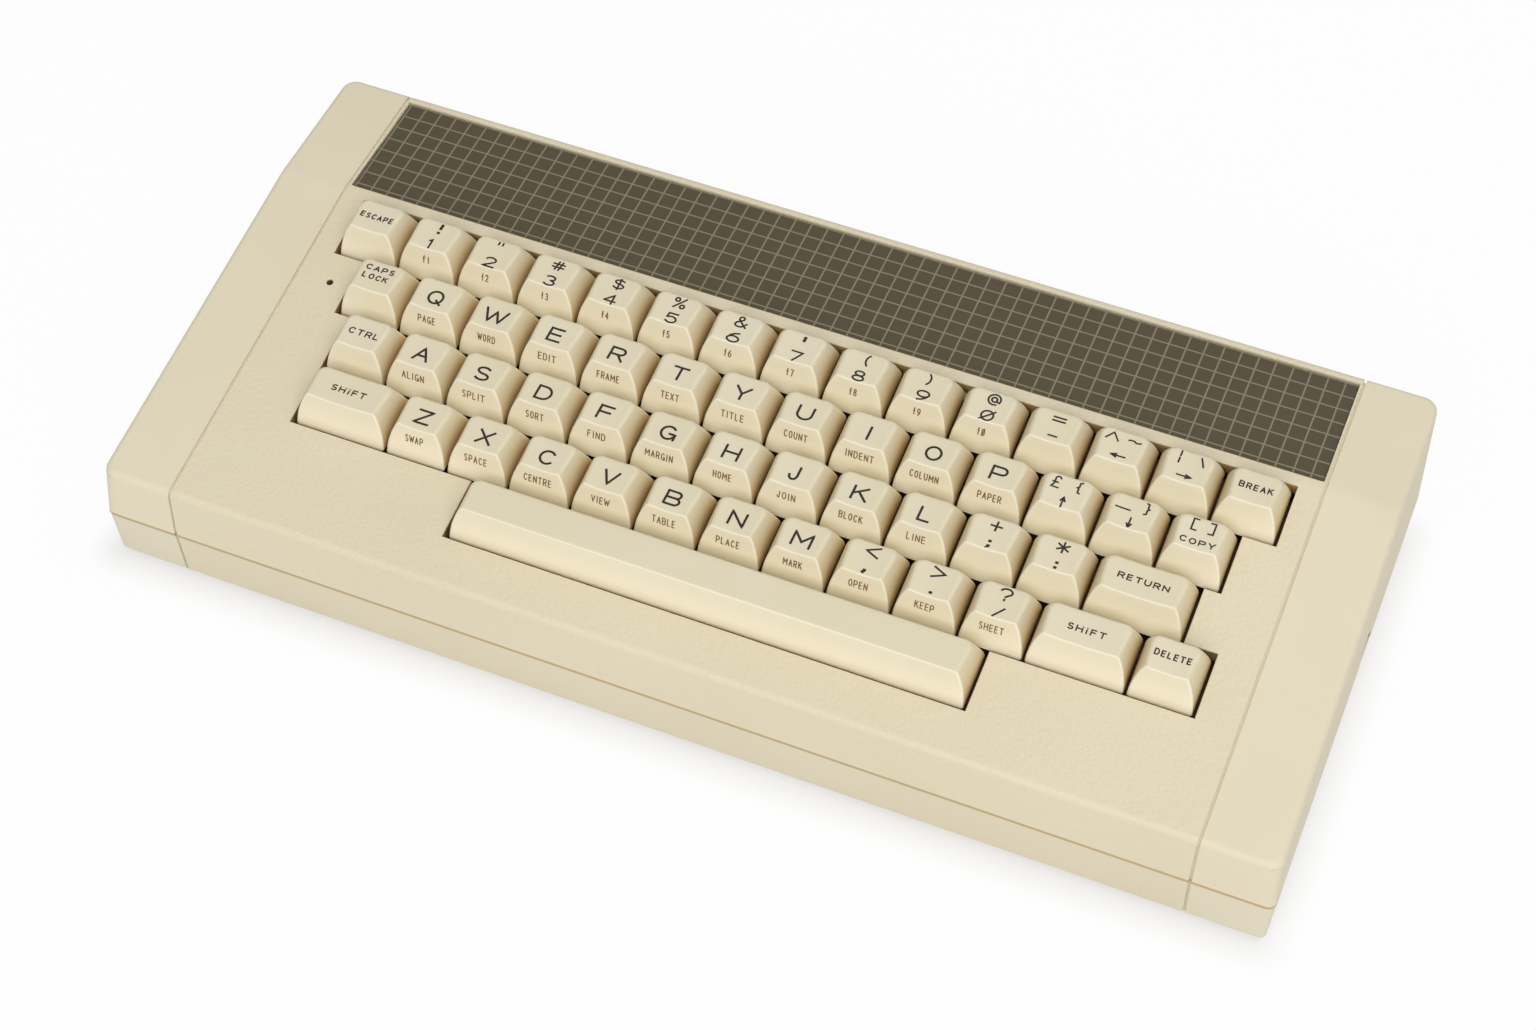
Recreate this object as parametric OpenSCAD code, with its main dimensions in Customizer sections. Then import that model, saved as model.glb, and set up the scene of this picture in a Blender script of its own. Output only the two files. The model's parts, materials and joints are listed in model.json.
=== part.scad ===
// Compact home computer with a built-in keyboard.
// Two moulded shells meet at a seam near the table. The upper shell carries the
// keyboard, whose keys each slide in a switch of their own, square to a sloping deck.
// The lower shell carries the main board with its sockets, the power board and the speaker.

/* [Case] */
// Overall width of the case at the seam
case_w = 346; // [334:0.5:352]
// Overall depth of the case at the seam
case_d = 160; // [158:1:168]
// Height of the seam between the shells above the table
seam_z = 18.9; // [18:0.1:21]
// Height of the upper front edge above the table
front_z = 36.7; // [36:0.1:40]
// Slope of the key deck in degrees
deck_tilt = 11.5; // [10:0.5:13]
// Slope of the roof behind the keys in degrees
roof_tilt = 2.8; // [1:0.1:5]
// Depth of the roof behind the crease
roof_d = 43.4; // [42:0.1:45]
// How far the upper rear wall leans forward at its top
rear_lean = 5.5; // [2:0.1:8]
// Draft of the upper walls in degrees
upper_draft = 1; // [0.5:0.1:3]
// Lean of the lower walls in degrees
lower_lean = 5.5; // [2:0.5:8]
// Corner radius of the case in plan
corner_r = 4.6; // [4.2:0.1:7]
// How far the upper shell overhangs the lower one
overhang = 0.8; // [0.3:0.1:1.2]
// Wall thickness of both shells
wall = 2.5; // [2:0.1:3]
// Chamfer around the underside
under_edge = 0.6; // [0.4:0.1:1.5]
// Height of the locating tongue above the seam
tongue_h = 2.4; // [1.5:0.1:3]
// Thickness of the locating tongue
tongue_t = 1.5; // [1.2:0.1:2]
// Clearance between parts that only fit past each other
fit_gap = 0.2; // [0.1:0.05:0.4]
// Thin gap that keeps apart two pieces seated on each other
seat = 0.05; // [0.02:0.01:0.1]

/* [Trim] */
// Distance of each decorative groove from the centre line
groove_x = 150.7; // [147:0.1:153]
// Width of a decorative groove
groove_w = 0.8; // [0.5:0.1:1.5]
// Depth of a decorative groove
groove_deep = 0.7; // [0.4:0.1:1]
// Roof left standing in front of the grid panel
panel_front = 2; // [1.5:0.1:4]
// Roof left standing behind the grid panel
panel_rear = 2.9; // [1.5:0.1:4]
// Ledge between the grid panel's recess and each groove
panel_ledge = 0.6; // [0.4:0.1:2]
// Thickness of the grid panel
panel_t = 0.8; // [0.5:0.1:1.2]
// How far the panel's face lies below the roof
panel_drop = 0.8; // [0.4:0.1:1.2]

/* [Keys] */
// Distance between neighbouring keys
pitch = 19.05; // [19:0.05:19.2]
// Distance of the space bar's middle from the front edge, up the deck
space_s = 24.6; // [23:0.1:26]
// Gap between the keys' unit squares and the edge of the deck's opening
key_gap = 0.6; // [0.5:0.1:1]
// Depth of the opening's rim below the deck
rim_h = 4.5; // [3.5:0.1:5.5]
// Thickness of that rim
rim_t = 1.4; // [1:0.1:1.6]
// Width and depth of a single key cap at its skirt
cap_w = 18.2; // [17.4:0.1:18.4]
// Height of the skirt's lower edge against the deck
skirt_z = -2; // [-2.4:0.1:-1.4]
// Height of a cap's front edge above the deck
cap_front_z = 8.95; // [8.6:0.05:9.4]
// Height of a cap's rear edge above the deck
cap_rear_z = 7.4; // [7.2:0.1:8.4]
// Half the width of a single cap's top
cap_top_half = 5.75; // [5.4:0.05:6.2]
// How far the cap's top starts behind the skirt's front
cap_front_lean = 4.6; // [4:0.1:4.8]
// How far the cap's top ends before the skirt's rear
cap_rear_lean = 2.7; // [2:0.1:3]
// Bulge of the cap's side walls
cap_bulge = 0.8; // [0.5:0.1:1.2]
// Depth of the hollow in a cap's top
dish = 0.4; // [0.2:0.05:0.6]
// Corner radius of a cap's skirt
cap_r = 1.2; // [1:0.1:2.2]
// Wall of a cap
cap_wall = 1.3; // [1:0.1:1.4]
// Travel of a key
travel = 3.8; // [3:0.1:4]

/* [Switches] */
// Depth of the steel plate's top below the deck
plate_drop = 8.5; // [8.2:0.1:9]
// Thickness of the steel plate
plate_t = 1.2; // [1:0.1:1.6]
// Width of the plate's square cut-outs
cutout_w = 14; // [13.8:0.1:14.4]
// Height of a switch above the plate
switch_h = 7; // [6.8:0.1:7.2]
// Width of the upper part of a switch
switch_top_w = 10.4; // [10.2:0.1:10.6]
// Depth of a switch below the plate's top
switch_deep = 6; // [5.8:0.1:6.5]
// Radius of the plunger
plunger_r = 2.5; // [2:0.1:2.6]
// Radius of the collar that keeps the plunger in its switch
collar_r = 3.7; // [3.4:0.1:3.8]
// Clearance of every sliding part
slide_gap = 0.3; // [0.2:0.05:0.35]
// Radius of the space bar's guide pins
guide_r = 2; // [1.6:0.1:2.2]
// Distance of the space bar's guide pins from its middle
guide_x = 57; // [50:1:62]
// Keyboard board thickness, and that of the other boards
board_t = 1.6; // [1.2:0.1:2]

/* [Boards] */
// Height of the main board's top below the seam
board_drop = 8; // [7.8:0.1:8.5]
// Width of the main board
board_w = 235; // [225:1:240]
// Depth of the main board
board_d = 116; // [110:1:118]
// Width of the expansion tongue
edge_w = 66; // [60:1:72]
// Room beside the tongue in the rear slot
edge_room = 4; // [3:0.5:8]
// Radius of a round signal socket
din_r = 6.7; // [6:0.1:7]
// Depth of a round signal socket
din_deep = 8; // [6:0.5:9]
// Outer radius of a coaxial socket's sleeve
coax_r = 4.15; // [4:0.05:4.3]
// Length of a coaxial socket's sleeve
coax_long = 11; // [9:0.5:11.5]
// Radius of the power inlet
inlet_r = 3.1; // [2.7:0.1:3.4]
// Depth of the power inlet
inlet_deep = 9; // [8:0.5:10]
// Radius of the loudspeaker
speaker_r = 25; // [20:0.5:26]

/* [Fixings] */
// Height of the rubber feet below the case
foot_h = 1; // [0.8:0.1:3]
// Radius of a rubber foot
foot_r = 6.5; // [5:0.1:7]
// Radius of a case screw's shank
screw_r = 1.3; // [1.2:0.05:1.6]
// Radius of a case screw's head
screw_head_r = 2.8; // [2.5:0.1:3]
// Radius of the bosses and wells that take the case screws
boss_r = 4.5; // [4.2:0.1:5]
// Thread radius of the inserts beside the expansion slot
insert_r = 1.5; // [1.25:0.05:1.8]
// Length of those inserts
insert_l = 8; // [6:0.5:9]

/* [Hidden] */
$fn = 64;
ivory = "#DED4B6";
cap_ivory = "#E4DAB8";
panel_brown = "#5A513D";
rubber = "#2B2A28";
steel = "#9FA19E";
black_plastic = "#26262A";
board_green = "#2F5A3C";
brass = "#C2A154";
over = 1;
// Lengths in steps of a thousandth, so that flat walls and round corners meet exactly
function snapped(v) = round(v * 1000) / 1000;

// Case outline: y runs to the rear, z up
front_y = -case_d / 2;
rear_y = case_d / 2;
deck_y = front_y + tan(upper_draft) * (front_z - seam_z);
roof_rear_y = rear_y - rear_lean;
crease_y = roof_rear_y - roof_d;
crease_z = front_z + tan(deck_tilt) * (crease_y - deck_y);
roof_rear_z = crease_z + tan(roof_tilt) * roof_d;
roof_len = roof_d / cos(roof_tilt);
roof_wall = wall + panel_t + panel_drop;
rear_room = 0.4;
floor_z = foot_h + wall;
upper_outline = [
  [front_y, seam_z],
  [rear_y, seam_z],
  [roof_rear_y, roof_rear_z],
  [crease_y, crease_z],
  [deck_y, front_z]
];
function lower_half(width, z) = width / 2 - overhang - tan(lower_lean) * (seam_z - z);
lower_outline = [
  [-lower_half(case_d, foot_h), foot_h],
  [lower_half(case_d, foot_h), foot_h],
  [lower_half(case_d, seam_z), seam_z],
  [-lower_half(case_d, seam_z), seam_z]
];

// Keys: five rows, from the rear to the front
KEY_ROWS = [
  ["escape", "1", "2", "3", "4", "5", "6", "7", "8", "9", "0", "minus", "left", "right", "break"],
  ["caps", "q", "w", "e", "r", "t", "y", "u", "i", "o", "p", "up", "down", "copy"],
  ["control", "a", "s", "d", "f", "g", "h", "j", "k", "l", "semicolon", "colon", "return"],
  ["shift_left", "z", "x", "c", "v", "b", "n", "m", "comma", "stop", "slash", "shift_right", "delete"],
  ["space"]
];
ROW_START = [0, 0.5, 0.75, 0.75, 3.75];
rows = len(KEY_ROWS);
function key_units(name) =
  name == "space" ? 8 : name == "return" || name == "shift_left" || name == "shift_right" ? 1.5 : 1;
function units_before(row, col) = col == 0 ? 0 : units_before(row, col - 1) + key_units(KEY_ROWS[row][col - 1]);
function row_units(row) = units_before(row, len(KEY_ROWS[row]));
function key_x(row, col) =
  (ROW_START[row] + units_before(row, col) + key_units(KEY_ROWS[row][col]) / 2 - row_units(0) / 2) * pitch;
function row_s(row) = space_s + (rows - 1 - row) * pitch;
block_half = row_units(0) * pitch / 2;
block_front = row_s(rows - 1) - pitch / 2;
block_rear = row_s(0) + pitch / 2;

// A cap's side outline: first number to the rear of its middle, second above the deck
cap_side = [
  [-cap_w / 2, skirt_z],
  [cap_w / 2, skirt_z],
  [cap_w / 2 - cap_rear_lean, cap_rear_z],
  [-cap_w / 2 + cap_front_lean, cap_front_z]
];
cap_chord = [cap_w / 2 - cap_top_half, cap_front_z - skirt_z];
cap_arc_r = pow(norm(cap_chord), 2) / (8 * cap_bulge) + cap_bulge / 2;
cap_arc_in = (cap_arc_r - cap_bulge) / norm(cap_chord);
cap_top_mid = (cap_front_z * (cap_w / 2 - cap_rear_lean) + cap_rear_z * (cap_w / 2 - cap_front_lean))
  / (cap_w - cap_rear_lean - cap_front_lean);

// Levels of the keyboard below the deck
plate_z = -plate_drop - plate_t;
switch_top = -plate_drop + switch_h;
key_board_z = -plate_drop - switch_deep - board_t;
flange_w = cutout_w + 1.6;
flange_t = 1;
collar_t = 1.5;
guide_len = 2.4;
collar_roof = switch_top - guide_len;
collar_floor = collar_roof - 2 * slide_gap - collar_t - travel;
plate_edge = 10;
plate_front = block_front - 6;
plate_rear = block_rear + 0.6;
post_x = block_half + 6.6;
post_r = 2.8;
POSTS = [
  [-post_x, block_rear - 8],
  [post_x, block_rear - 8],
  [-post_x, row_s(2)],
  [post_x, row_s(2)],
  [-post_x + 40, block_front + 7],
  [post_x - 40, block_front + 7]
];
lamp_x = -block_half + 2.9;
lamp_s = row_s(1) - 1;
lamp_r = 1;

// Levels and places on the boards
board_z = seam_z - board_drop;
board_left = -case_w / 2 + wall + 2.5;
board_x = board_left + board_w / 2;
power_w = case_w / 2 - wall - 2.5 - (board_left + board_w) - 6;
power_x = case_w / 2 - wall - 2.5 - power_w / 2;
power_d = 70;
power_y = 15;
socket_wide = 16;
socket_x = lower_half(case_w, board_z) - wall - slide_gap;
socket_long = 12;
din_hole_r = din_r + 1.8;
coax_hole_r = coax_r + 2.4;
inlet_hole_r = inlet_r + 3;
DIN_Y = [0, -25];
COAX_Y = [25, 45];
inlet_y = 13.5;
can_w = 40;
can_d = 40;
can_h = 15.5;
speaker_x = case_w / 2 - 50;
speaker_y = front_y + speaker_r + 6;
speaker_h = 13;
speaker_ring = 1.5;

// Case screws, feet and expansion inserts
boss_x = case_w / 2 - 8;
boss_y = case_d / 2 - 14;
boss_z = seam_z + 4;
well_head_z = 10;
screw_l = 18;
screw_head_h = 2;
foot_x = case_w / 2 - 24;
foot_y = case_d / 2 - 18;
foot_sink = 1;
insert_x = edge_w / 2 + edge_room + 10;
insert_z = (foot_h + seam_z) / 2 + 1.5;
insert_wall = 1;
slot_half = edge_w / 2 + edge_room;

// ---------- shared geometry ----------

// Where the line through p along d meets the line through q along e
function crossing(p, d, q, e) = p + d * ((q.x - p.x) * e.y - (q.y - p.y) * e.x) / (d.x * e.y - d.y * e.x);
function edge_way(p, i) = p[(i + 1) % len(p)] - p[i];
function edge_moved(p, i, t) = p[i] + t * [-edge_way(p, i).y, edge_way(p, i).x] / norm(edge_way(p, i));
// A closed outline, listed anticlockwise, with edge i moved inwards by t[i]
function inset(p, t) = [
  for (i = [0:len(p) - 1])
    let (before = (i + len(p) - 1) % len(p))
      crossing(edge_moved(p, before, t[before]), edge_way(p, before), edge_moved(p, i, t[i]), edge_way(p, i))
];

// Extrudes a (y, z) outline along x, centred
module side_slab(width) {
  translate([-width / 2, 0, 0])
    rotate([90, 0, 90])
      linear_extrude(width) children();
}

// Extrudes an (x, z) outline along y, centred
module front_slab(depth) {
  translate([0, depth / 2, 0])
    rotate([90, 0, 0])
      linear_extrude(depth) children();
}

module on_deck() {
  translate([0, deck_y, front_z])
    rotate([deck_tilt, 0, 0]) children();
}

module on_roof() {
  translate([0, crease_y, crease_z])
    rotate([roof_tilt, 0, 0]) children();
}

// A block with rounded upright corners whose four walls lean out by grow over its height
module leaning_block(w, d, r, h, grow) {
  half_w = snapped(w / 2);
  half_d = snapped(d / 2);
  round_r = snapped(r);
  lean = snapped(grow);
  front_slab(2 * (half_d - round_r))
    polygon([[-half_w, 0], [half_w, 0], [half_w + lean, h], [-half_w - lean, h]]);
  side_slab(2 * (half_w - round_r))
    polygon([[-half_d, 0], [half_d, 0], [half_d + lean, h], [-half_d - lean, h]]);
  for (x = [-1, 1], y = [-1, 1])
    translate([x * (half_w - round_r), y * (half_d - round_r), 0])
      cylinder(r1 = round_r, r2 = round_r + lean, h = h);
}

module rounded_plan(w, d, r) {
  square([w - 2 * r, d], center = true);
  square([w, d - 2 * r], center = true);
  for (x = [-1, 1], y = [-1, 1])
    translate([x * (w / 2 - r), y * (d / 2 - r)]) circle(r);
}

// The strip just inside an outline, as deep as a groove, from one open end to the other
module groove_strip(outline, keep) {
  out = [for (k = keep) -over];
  in = [for (k = keep) k ? groove_deep : -2 * over];
  for (side = [-1, 1])
    translate([side * groove_x, 0, 0])
      side_slab(groove_w)
        difference() {
          polygon(inset(outline, out));
          polygon(inset(outline, in));
        }
}

// ---------- upper case ----------

// The drafted walls and round corners; its rear stands clear of the outline's leaning rear wall
module upper_block(shrink) {
  high = roof_rear_z - seam_z + 3;
  translate([0, rear_room / 2, seam_z - over])
    leaning_block(
      case_w - 2 * shrink + 2 * tan(upper_draft) * over,
      case_d + rear_room - 2 * shrink + 2 * tan(upper_draft) * over,
      corner_r - shrink * 0.8,
      high + over,
      -tan(upper_draft) * (high + over)
    );
}

// What the two upright rear corners lose to their rounding, along the leaning rear wall
module rear_corners() {
  lean = atan2(rear_lean, roof_rear_z - seam_z);
  draft = atan(tan(upper_draft) * cos(lean));
  centre = corner_r - 0.02;
  for (side = [-1, 1])
    translate([side * case_w / 2, rear_y, seam_z])
      rotate([lean, 0, 0])
        rotate([0, -side * draft, 0])
          difference() {
            translate([side > 0 ? -centre : -1, -centre, -3])
              cube([centre + 1, centre + 1, roof_rear_z - seam_z + 6]);
            translate([-side * centre, -centre, -3 - over])
              cylinder(r = corner_r, h = roof_rear_z - seam_z + 6 + 2 * over);
          }
}

module upper_form() {
  difference() {
    intersection() {
      upper_block(0);
      side_slab(case_w + 2 * over)
        polygon(inset(upper_outline, [0, 0, 0, 0, -5]));
    }
    rear_corners();
  }
}

module upper_hollow() {
  intersection() {
    upper_block(wall);
    side_slab(case_w)
      polygon(inset(upper_outline, [-over, wall, roof_wall, wall, -5]));
  }
}

// The unit squares of the keys, row by row, grown by a margin
module key_rows_plan(grow) {
  for (row = [0:rows - 1])
    translate([(ROW_START[row] - row_units(0) / 2) * pitch - grow, row_s(row) - pitch / 2 - grow])
      square([row_units(row) * pitch + 2 * grow, pitch + 2 * grow]);
}

module case_bosses() {
  intersection() {
    upper_form();
    for (x = [-boss_x, boss_x], y = [-boss_y, boss_y])
      translate([x, y, boss_z])
        cylinder(r = boss_r, h = roof_rear_z);
  }
}

module keyboard_posts() {
  on_deck()
    for (post = POSTS)
      translate([post.x, post.y, -plate_drop])
        cylinder(r = post_r, h = plate_drop - wall / 2);
}

module opening_rim() {
  on_deck()
    translate([0, 0, -rim_h])
      linear_extrude(rim_h - wall / 2)
        key_rows_plan(key_gap + rim_t);
}

module upper_shell() {
  difference() {
    union() {
      difference() {
        upper_form();
        upper_hollow();
      }
      opening_rim();
      case_bosses();
      keyboard_posts();
    }
    on_deck()
      translate([0, 0, -rim_h - over])
        linear_extrude(rim_h + 2 * over)
          key_rows_plan(key_gap);
    on_deck()
      translate([lamp_x, lamp_s, -wall - over])
        cylinder(r = lamp_r, h = wall + 2 * over);
    on_deck()
      for (post = POSTS)
        translate([post.x, post.y, -plate_drop - over])
          cylinder(r = screw_r + 0.05, h = plate_drop - wall + over);
    on_roof()
      translate([-panel_half(), panel_front, -panel_t - panel_drop])
        cube([2 * panel_half(), panel_len(), panel_t + panel_drop + over]);
    groove_strip(upper_outline, [false, true, true, true, true]);
    for (x = [-boss_x, boss_x], y = [-boss_y, boss_y])
      translate([x, y, boss_z - over])
        cylinder(r = screw_r + 0.05, h = 10 + over);
    socket_holes();
  }
}

function panel_half() = groove_x - groove_w / 2 - panel_ledge;
function panel_len() = roof_len - panel_front - panel_rear;

module grid_panel() {
  on_roof()
    translate([-panel_half() + fit_gap, panel_front + fit_gap, -panel_t - panel_drop + seat])
      cube([2 * (panel_half() - fit_gap), panel_len() - 2 * fit_gap, panel_t - seat]);
}

module upper_case() {
  color(ivory) upper_shell();
  color(panel_brown) grid_panel();
}

// ---------- lower case ----------

// The lower shell's outside, moved in by a wall, from one height to another
module lower_block(shrink, from_z, to_z) {
  translate([0, 0, from_z])
    leaning_block(
      2 * (lower_half(case_w, from_z) - shrink),
      2 * (lower_half(case_d, from_z) - shrink),
      corner_r - overhang - tan(lower_lean) * (seam_z - from_z) - shrink * 0.5,
      to_z - from_z,
      tan(lower_lean) * (to_z - from_z)
    );
}

module lower_form() {
  base_z = foot_h + under_edge;
  lower_block(0, base_z, seam_z);
  translate([0, 0, foot_h])
    leaning_block(
      2 * (lower_half(case_w, base_z) - under_edge),
      2 * (lower_half(case_d, base_z) - under_edge),
      corner_r - overhang - tan(lower_lean) * (seam_z - base_z) - under_edge,
      under_edge,
      under_edge
    );
}

module tongue() {
  low = seam_z - 2;
  high = tongue_h + 2;
  side = wall + fit_gap;
  rear_tuck = max(0, (rear_lean / (roof_rear_z - seam_z) - tan(upper_draft)) * tongue_h);
  translate([0, -rear_tuck / 2, low])
    difference() {
      leaning_block(
        case_w - 2 * side,
        case_d - 2 * side - rear_tuck,
        corner_r - wall * 0.8,
        high,
        -tan(upper_draft) * high
      );
      translate([0, 0, -over])
        leaning_block(
          case_w - 2 * side - 2 * tongue_t,
          case_d - 2 * side - rear_tuck - 2 * tongue_t,
          corner_r - wall * 0.8 - tongue_t * 0.4,
          high + 2 * over,
          -tan(upper_draft) * high
        );
    }
}

// Holes for the sockets' plugs, half in each shell
module socket_holes() {
  for (y = DIN_Y) side_hole(-1, y, din_hole_r);
  for (y = COAX_Y) side_hole(-1, y, coax_hole_r);
  side_hole(1, inlet_y, inlet_hole_r);
}

module side_hole(side, y, r) {
  translate([side * (case_w / 2 - wall - tongue_t), y, seam_z])
    rotate([0, 90, 0])
      cylinder(r = r, h = 2 * (wall + tongue_t + over), center = true);
}

module vents() {
  for (x = [-8:8])
    translate([power_x + x * 4.5 - 1.1, power_y - 16, foot_h - over])
      cube([2.2, 34, wall + 2 * over]);
  for (x = [-4:4])
    translate([speaker_x + x * 4.5 - 1.1, speaker_y - 14, foot_h - over])
      cube([2.2, 28, wall + 2 * over]);
}

module standoffs() {
  for (x = [-0.44, 0, 0.44], y = [-0.42, 0.42])
    translate([board_x + x * board_w, y * board_d, floor_z - wall / 2])
      cylinder(r = 3, h = board_z - board_t - floor_z + wall / 2 - seat);
  for (x = [-0.42, 0.42], y = [-0.42, 0.42])
    translate([power_x + x * power_w, power_y + y * power_d, floor_z - wall / 2])
      cylinder(r = 3, h = board_z - board_t - floor_z + wall / 2 - seat);
}

module wells() {
  for (x = [-boss_x, boss_x], y = [-boss_y, boss_y])
    translate([x, y, floor_z - wall / 2])
      cylinder(r = boss_r, h = boss_z - floor_z + wall / 2);
}

module insert_bosses() {
  for (x = [-insert_x, insert_x])
    intersection() {
      lower_form();
      translate([x, rear_y - over, insert_z])
        rotate([90, 0, 0])
          cylinder(r = insert_r + insert_wall + 2, h = insert_l + 4);
    }
}

module lower_shell() {
  difference() {
    union() {
      difference() {
        lower_form();
        lower_block(wall, floor_z, seam_z + over);
      }
      tongue();
      wells();
      standoffs();
      insert_bosses();
      translate([speaker_x, speaker_y, floor_z - wall / 2])
        difference() {
          cylinder(r = speaker_r + fit_gap + speaker_ring, h = 5);
          cylinder(r = speaker_r + fit_gap, h = 5 + over);
        }
    }
    for (x = [-boss_x, boss_x], y = [-boss_y, boss_y])
      translate([x, y, foot_h - over]) {
        cylinder(r = screw_head_r + 0.4, h = well_head_z - foot_h + over);
        cylinder(r = screw_r + 0.3, h = boss_z + 2 * over);
      }
    for (x = [-foot_x, foot_x], y = [-foot_y, foot_y])
      translate([x, y, foot_h - over])
        cylinder(r = foot_r, h = foot_sink + over);
    translate([-slot_half, rear_y - 12, floor_z])
      cube([2 * slot_half, 12 + over, seam_z + tongue_h]);
    for (x = [-insert_x, insert_x])
      translate([x, rear_y + over, insert_z])
        rotate([90, 0, 0])
          cylinder(r = insert_r + insert_wall, h = insert_front() + insert_l + over);
    groove_strip(lower_outline, [false, true, false, true]);
    vents();
    socket_holes();
  }
}

// How far the inserts' mouths lie in front of the case's rear
function insert_front() = rear_y - lower_half(case_d, insert_z) + 1;

module foot() {
  cylinder(r1 = foot_r - 0.8, r2 = foot_r - seat, h = foot_h * 0.4);
  translate([0, 0, foot_h * 0.4])
    cylinder(r = foot_r - seat, h = foot_h * 0.6 + foot_sink - seat);
}

module case_screw() {
  translate([0, 0, well_head_z - screw_head_h - seat])
    difference() {
      cylinder(r = screw_head_r, h = screw_head_h);
      for (turn = [0, 90])
        rotate([0, 0, turn])
          translate([0, 0, 0.6])
            cube([2.6, 0.7, 1.6], center = true);
    }
  translate([0, 0, well_head_z - 2 * seat])
    cylinder(r = screw_r, h = screw_l);
}

module insert() {
  rotate([90, 0, 0])
    difference() {
      cylinder(r = insert_r + insert_wall - seat, h = insert_l - seat);
      translate([0, 0, -over])
        cylinder(r = insert_r, h = insert_l + 2 * over);
    }
}

module loudspeaker() {
  color(steel)
    difference() {
      cylinder(r = speaker_r, h = 3);
      translate([0, 0, -over]) cylinder(r1 = speaker_r - 2, r2 = speaker_r - 8, h = 3 + 2 * over);
    }
  color(black_plastic)
    translate([0, 0, 3]) cylinder(r1 = speaker_r - 3, r2 = 10, h = 5);
  color(steel)
    translate([0, 0, 8]) cylinder(r = 12, h = speaker_h - 8);
}

module lower_case() {
  color(ivory) lower_shell();
  for (x = [-foot_x, foot_x], y = [-foot_y, foot_y])
    color(rubber) translate([x, y, 0]) foot();
  for (x = [-boss_x, boss_x], y = [-boss_y, boss_y])
    color(steel) translate([x, y, 0]) case_screw();
  for (x = [-insert_x, insert_x])
    color(brass) translate([x, rear_y - insert_front(), insert_z]) insert();
  translate([speaker_x, speaker_y, floor_z + seat]) loudspeaker();
}

// ---------- keyboard ----------

module key_places() {
  for (row = [0:rows - 1], col = [0:len(KEY_ROWS[row]) - 1])
    translate([key_x(row, col), row_s(row), 0]) children();
}

module guide_places() {
  for (side = [-1, 1])
    translate([key_x(rows - 1, 0) + side * guide_x, row_s(rows - 1), 0]) children();
}

module steel_plate() {
  difference() {
    translate([-block_half - plate_edge, plate_front, plate_z])
      cube([2 * (block_half + plate_edge), plate_rear - plate_front, plate_t - seat]);
    key_places()
      translate([0, 0, plate_z])
        cube([cutout_w, cutout_w, 4 * plate_t], center = true);
    guide_places()
      translate([0, 0, plate_z - over]) cylinder(r = 3.6, h = plate_t + 2 * over);
    for (post = POSTS)
      translate([post.x, post.y, plate_z - over]) cylinder(r = screw_r + 0.4, h = plate_t + 2 * over);
  }
}

module switch_housing() {
  body_w = cutout_w - 0.2;
  difference() {
    union() {
      translate([-body_w / 2, -body_w / 2, -plate_drop - switch_deep])
        cube([body_w, body_w, switch_deep]);
      translate([-flange_w / 2, -flange_w / 2, -plate_drop])
        cube([flange_w, flange_w, flange_t]);
      translate([-switch_top_w / 2, -switch_top_w / 2, -plate_drop])
        cube([switch_top_w, switch_top_w, switch_h]);
    }
    translate([0, 0, collar_roof - over])
      cylinder(r = plunger_r + slide_gap, h = guide_len + 2 * over);
    translate([0, 0, collar_floor])
      cylinder(r = collar_r + slide_gap, h = collar_roof - collar_floor);
  }
}

// Sleeve that keeps one end of the space bar level
module guide_sleeve() {
  translate([0, 0, key_board_z + board_t + seat])
    difference() {
      cylinder(r = 3.5, h = switch_top - key_board_z - board_t);
      translate([0, 0, 1])
        cylinder(r = guide_r + slide_gap, h = switch_top - key_board_z);
    }
}

module key_board() {
  translate([-block_half - 4, plate_front + 4, key_board_z])
    cube([2 * (block_half + 4), plate_rear - plate_front - 6, board_t - seat]);
}

module lock_lamp() {
  translate([lamp_x, lamp_s, -plate_drop])
    cylinder(r = lamp_r + 0.6, h = plate_drop - wall - slide_gap);
  translate([lamp_x, lamp_s, -plate_drop])
    cylinder(r = lamp_r - 0.15, h = plate_drop - 0.6);
}

module plate_screw() {
  translate([0, 0, plate_z - 1.8]) cylinder(r = screw_head_r, h = 1.8 - seat);
  translate([0, 0, plate_z - 1]) cylinder(r = screw_r, h = plate_t + 5);
}

module keyboard_frame() {
  color(steel) on_deck() steel_plate();
  color(black_plastic) on_deck() key_places() switch_housing();
  color(black_plastic) on_deck() guide_places() guide_sleeve();
  color(board_green) on_deck() key_board();
  color("#7A1F1B") on_deck() lock_lamp();
  color(steel) on_deck()
    for (post = POSTS)
      translate([post.x, post.y, 0]) plate_screw();
}

// ---------- keys ----------

// A cap seen from the front: arched side walls that stand upright at the skirt
module cap_front_plan(extra) {
  mid = [(cap_w / 2 + cap_top_half) / 2 + extra, (cap_front_z + skirt_z) / 2];
  centre = mid - cap_arc_in * [cap_chord.y, cap_chord.x];
  intersection() {
    translate([-cap_w / 2 - extra, skirt_z])
      square([cap_w + 2 * extra, cap_front_z - skirt_z + over]);
    arched_side(centre, extra, 1);
    arched_side(centre, extra, -1);
  }
}

module arched_side(centre, extra, side) {
  mirror([side < 0 ? 1 : 0, 0])
    union() {
      translate(centre) circle(cap_arc_r);
      translate([-2 * cap_w - 2 * extra, -2 * cap_w])
        square([2 * cap_w + 2 * extra + max(centre.x, -cap_w), 4 * cap_w]);
    }
}

module cap_form(extra) {
  intersection() {
    front_slab(cap_w + 2 * over) cap_front_plan(extra);
    side_slab(cap_w + 2 * extra + 2 * over) polygon(cap_side);
    translate([0, 0, skirt_z - over])
      linear_extrude(cap_front_z - skirt_z + 2 * over)
        rounded_plan(cap_w + 2 * extra, cap_w, cap_r);
  }
}

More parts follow.
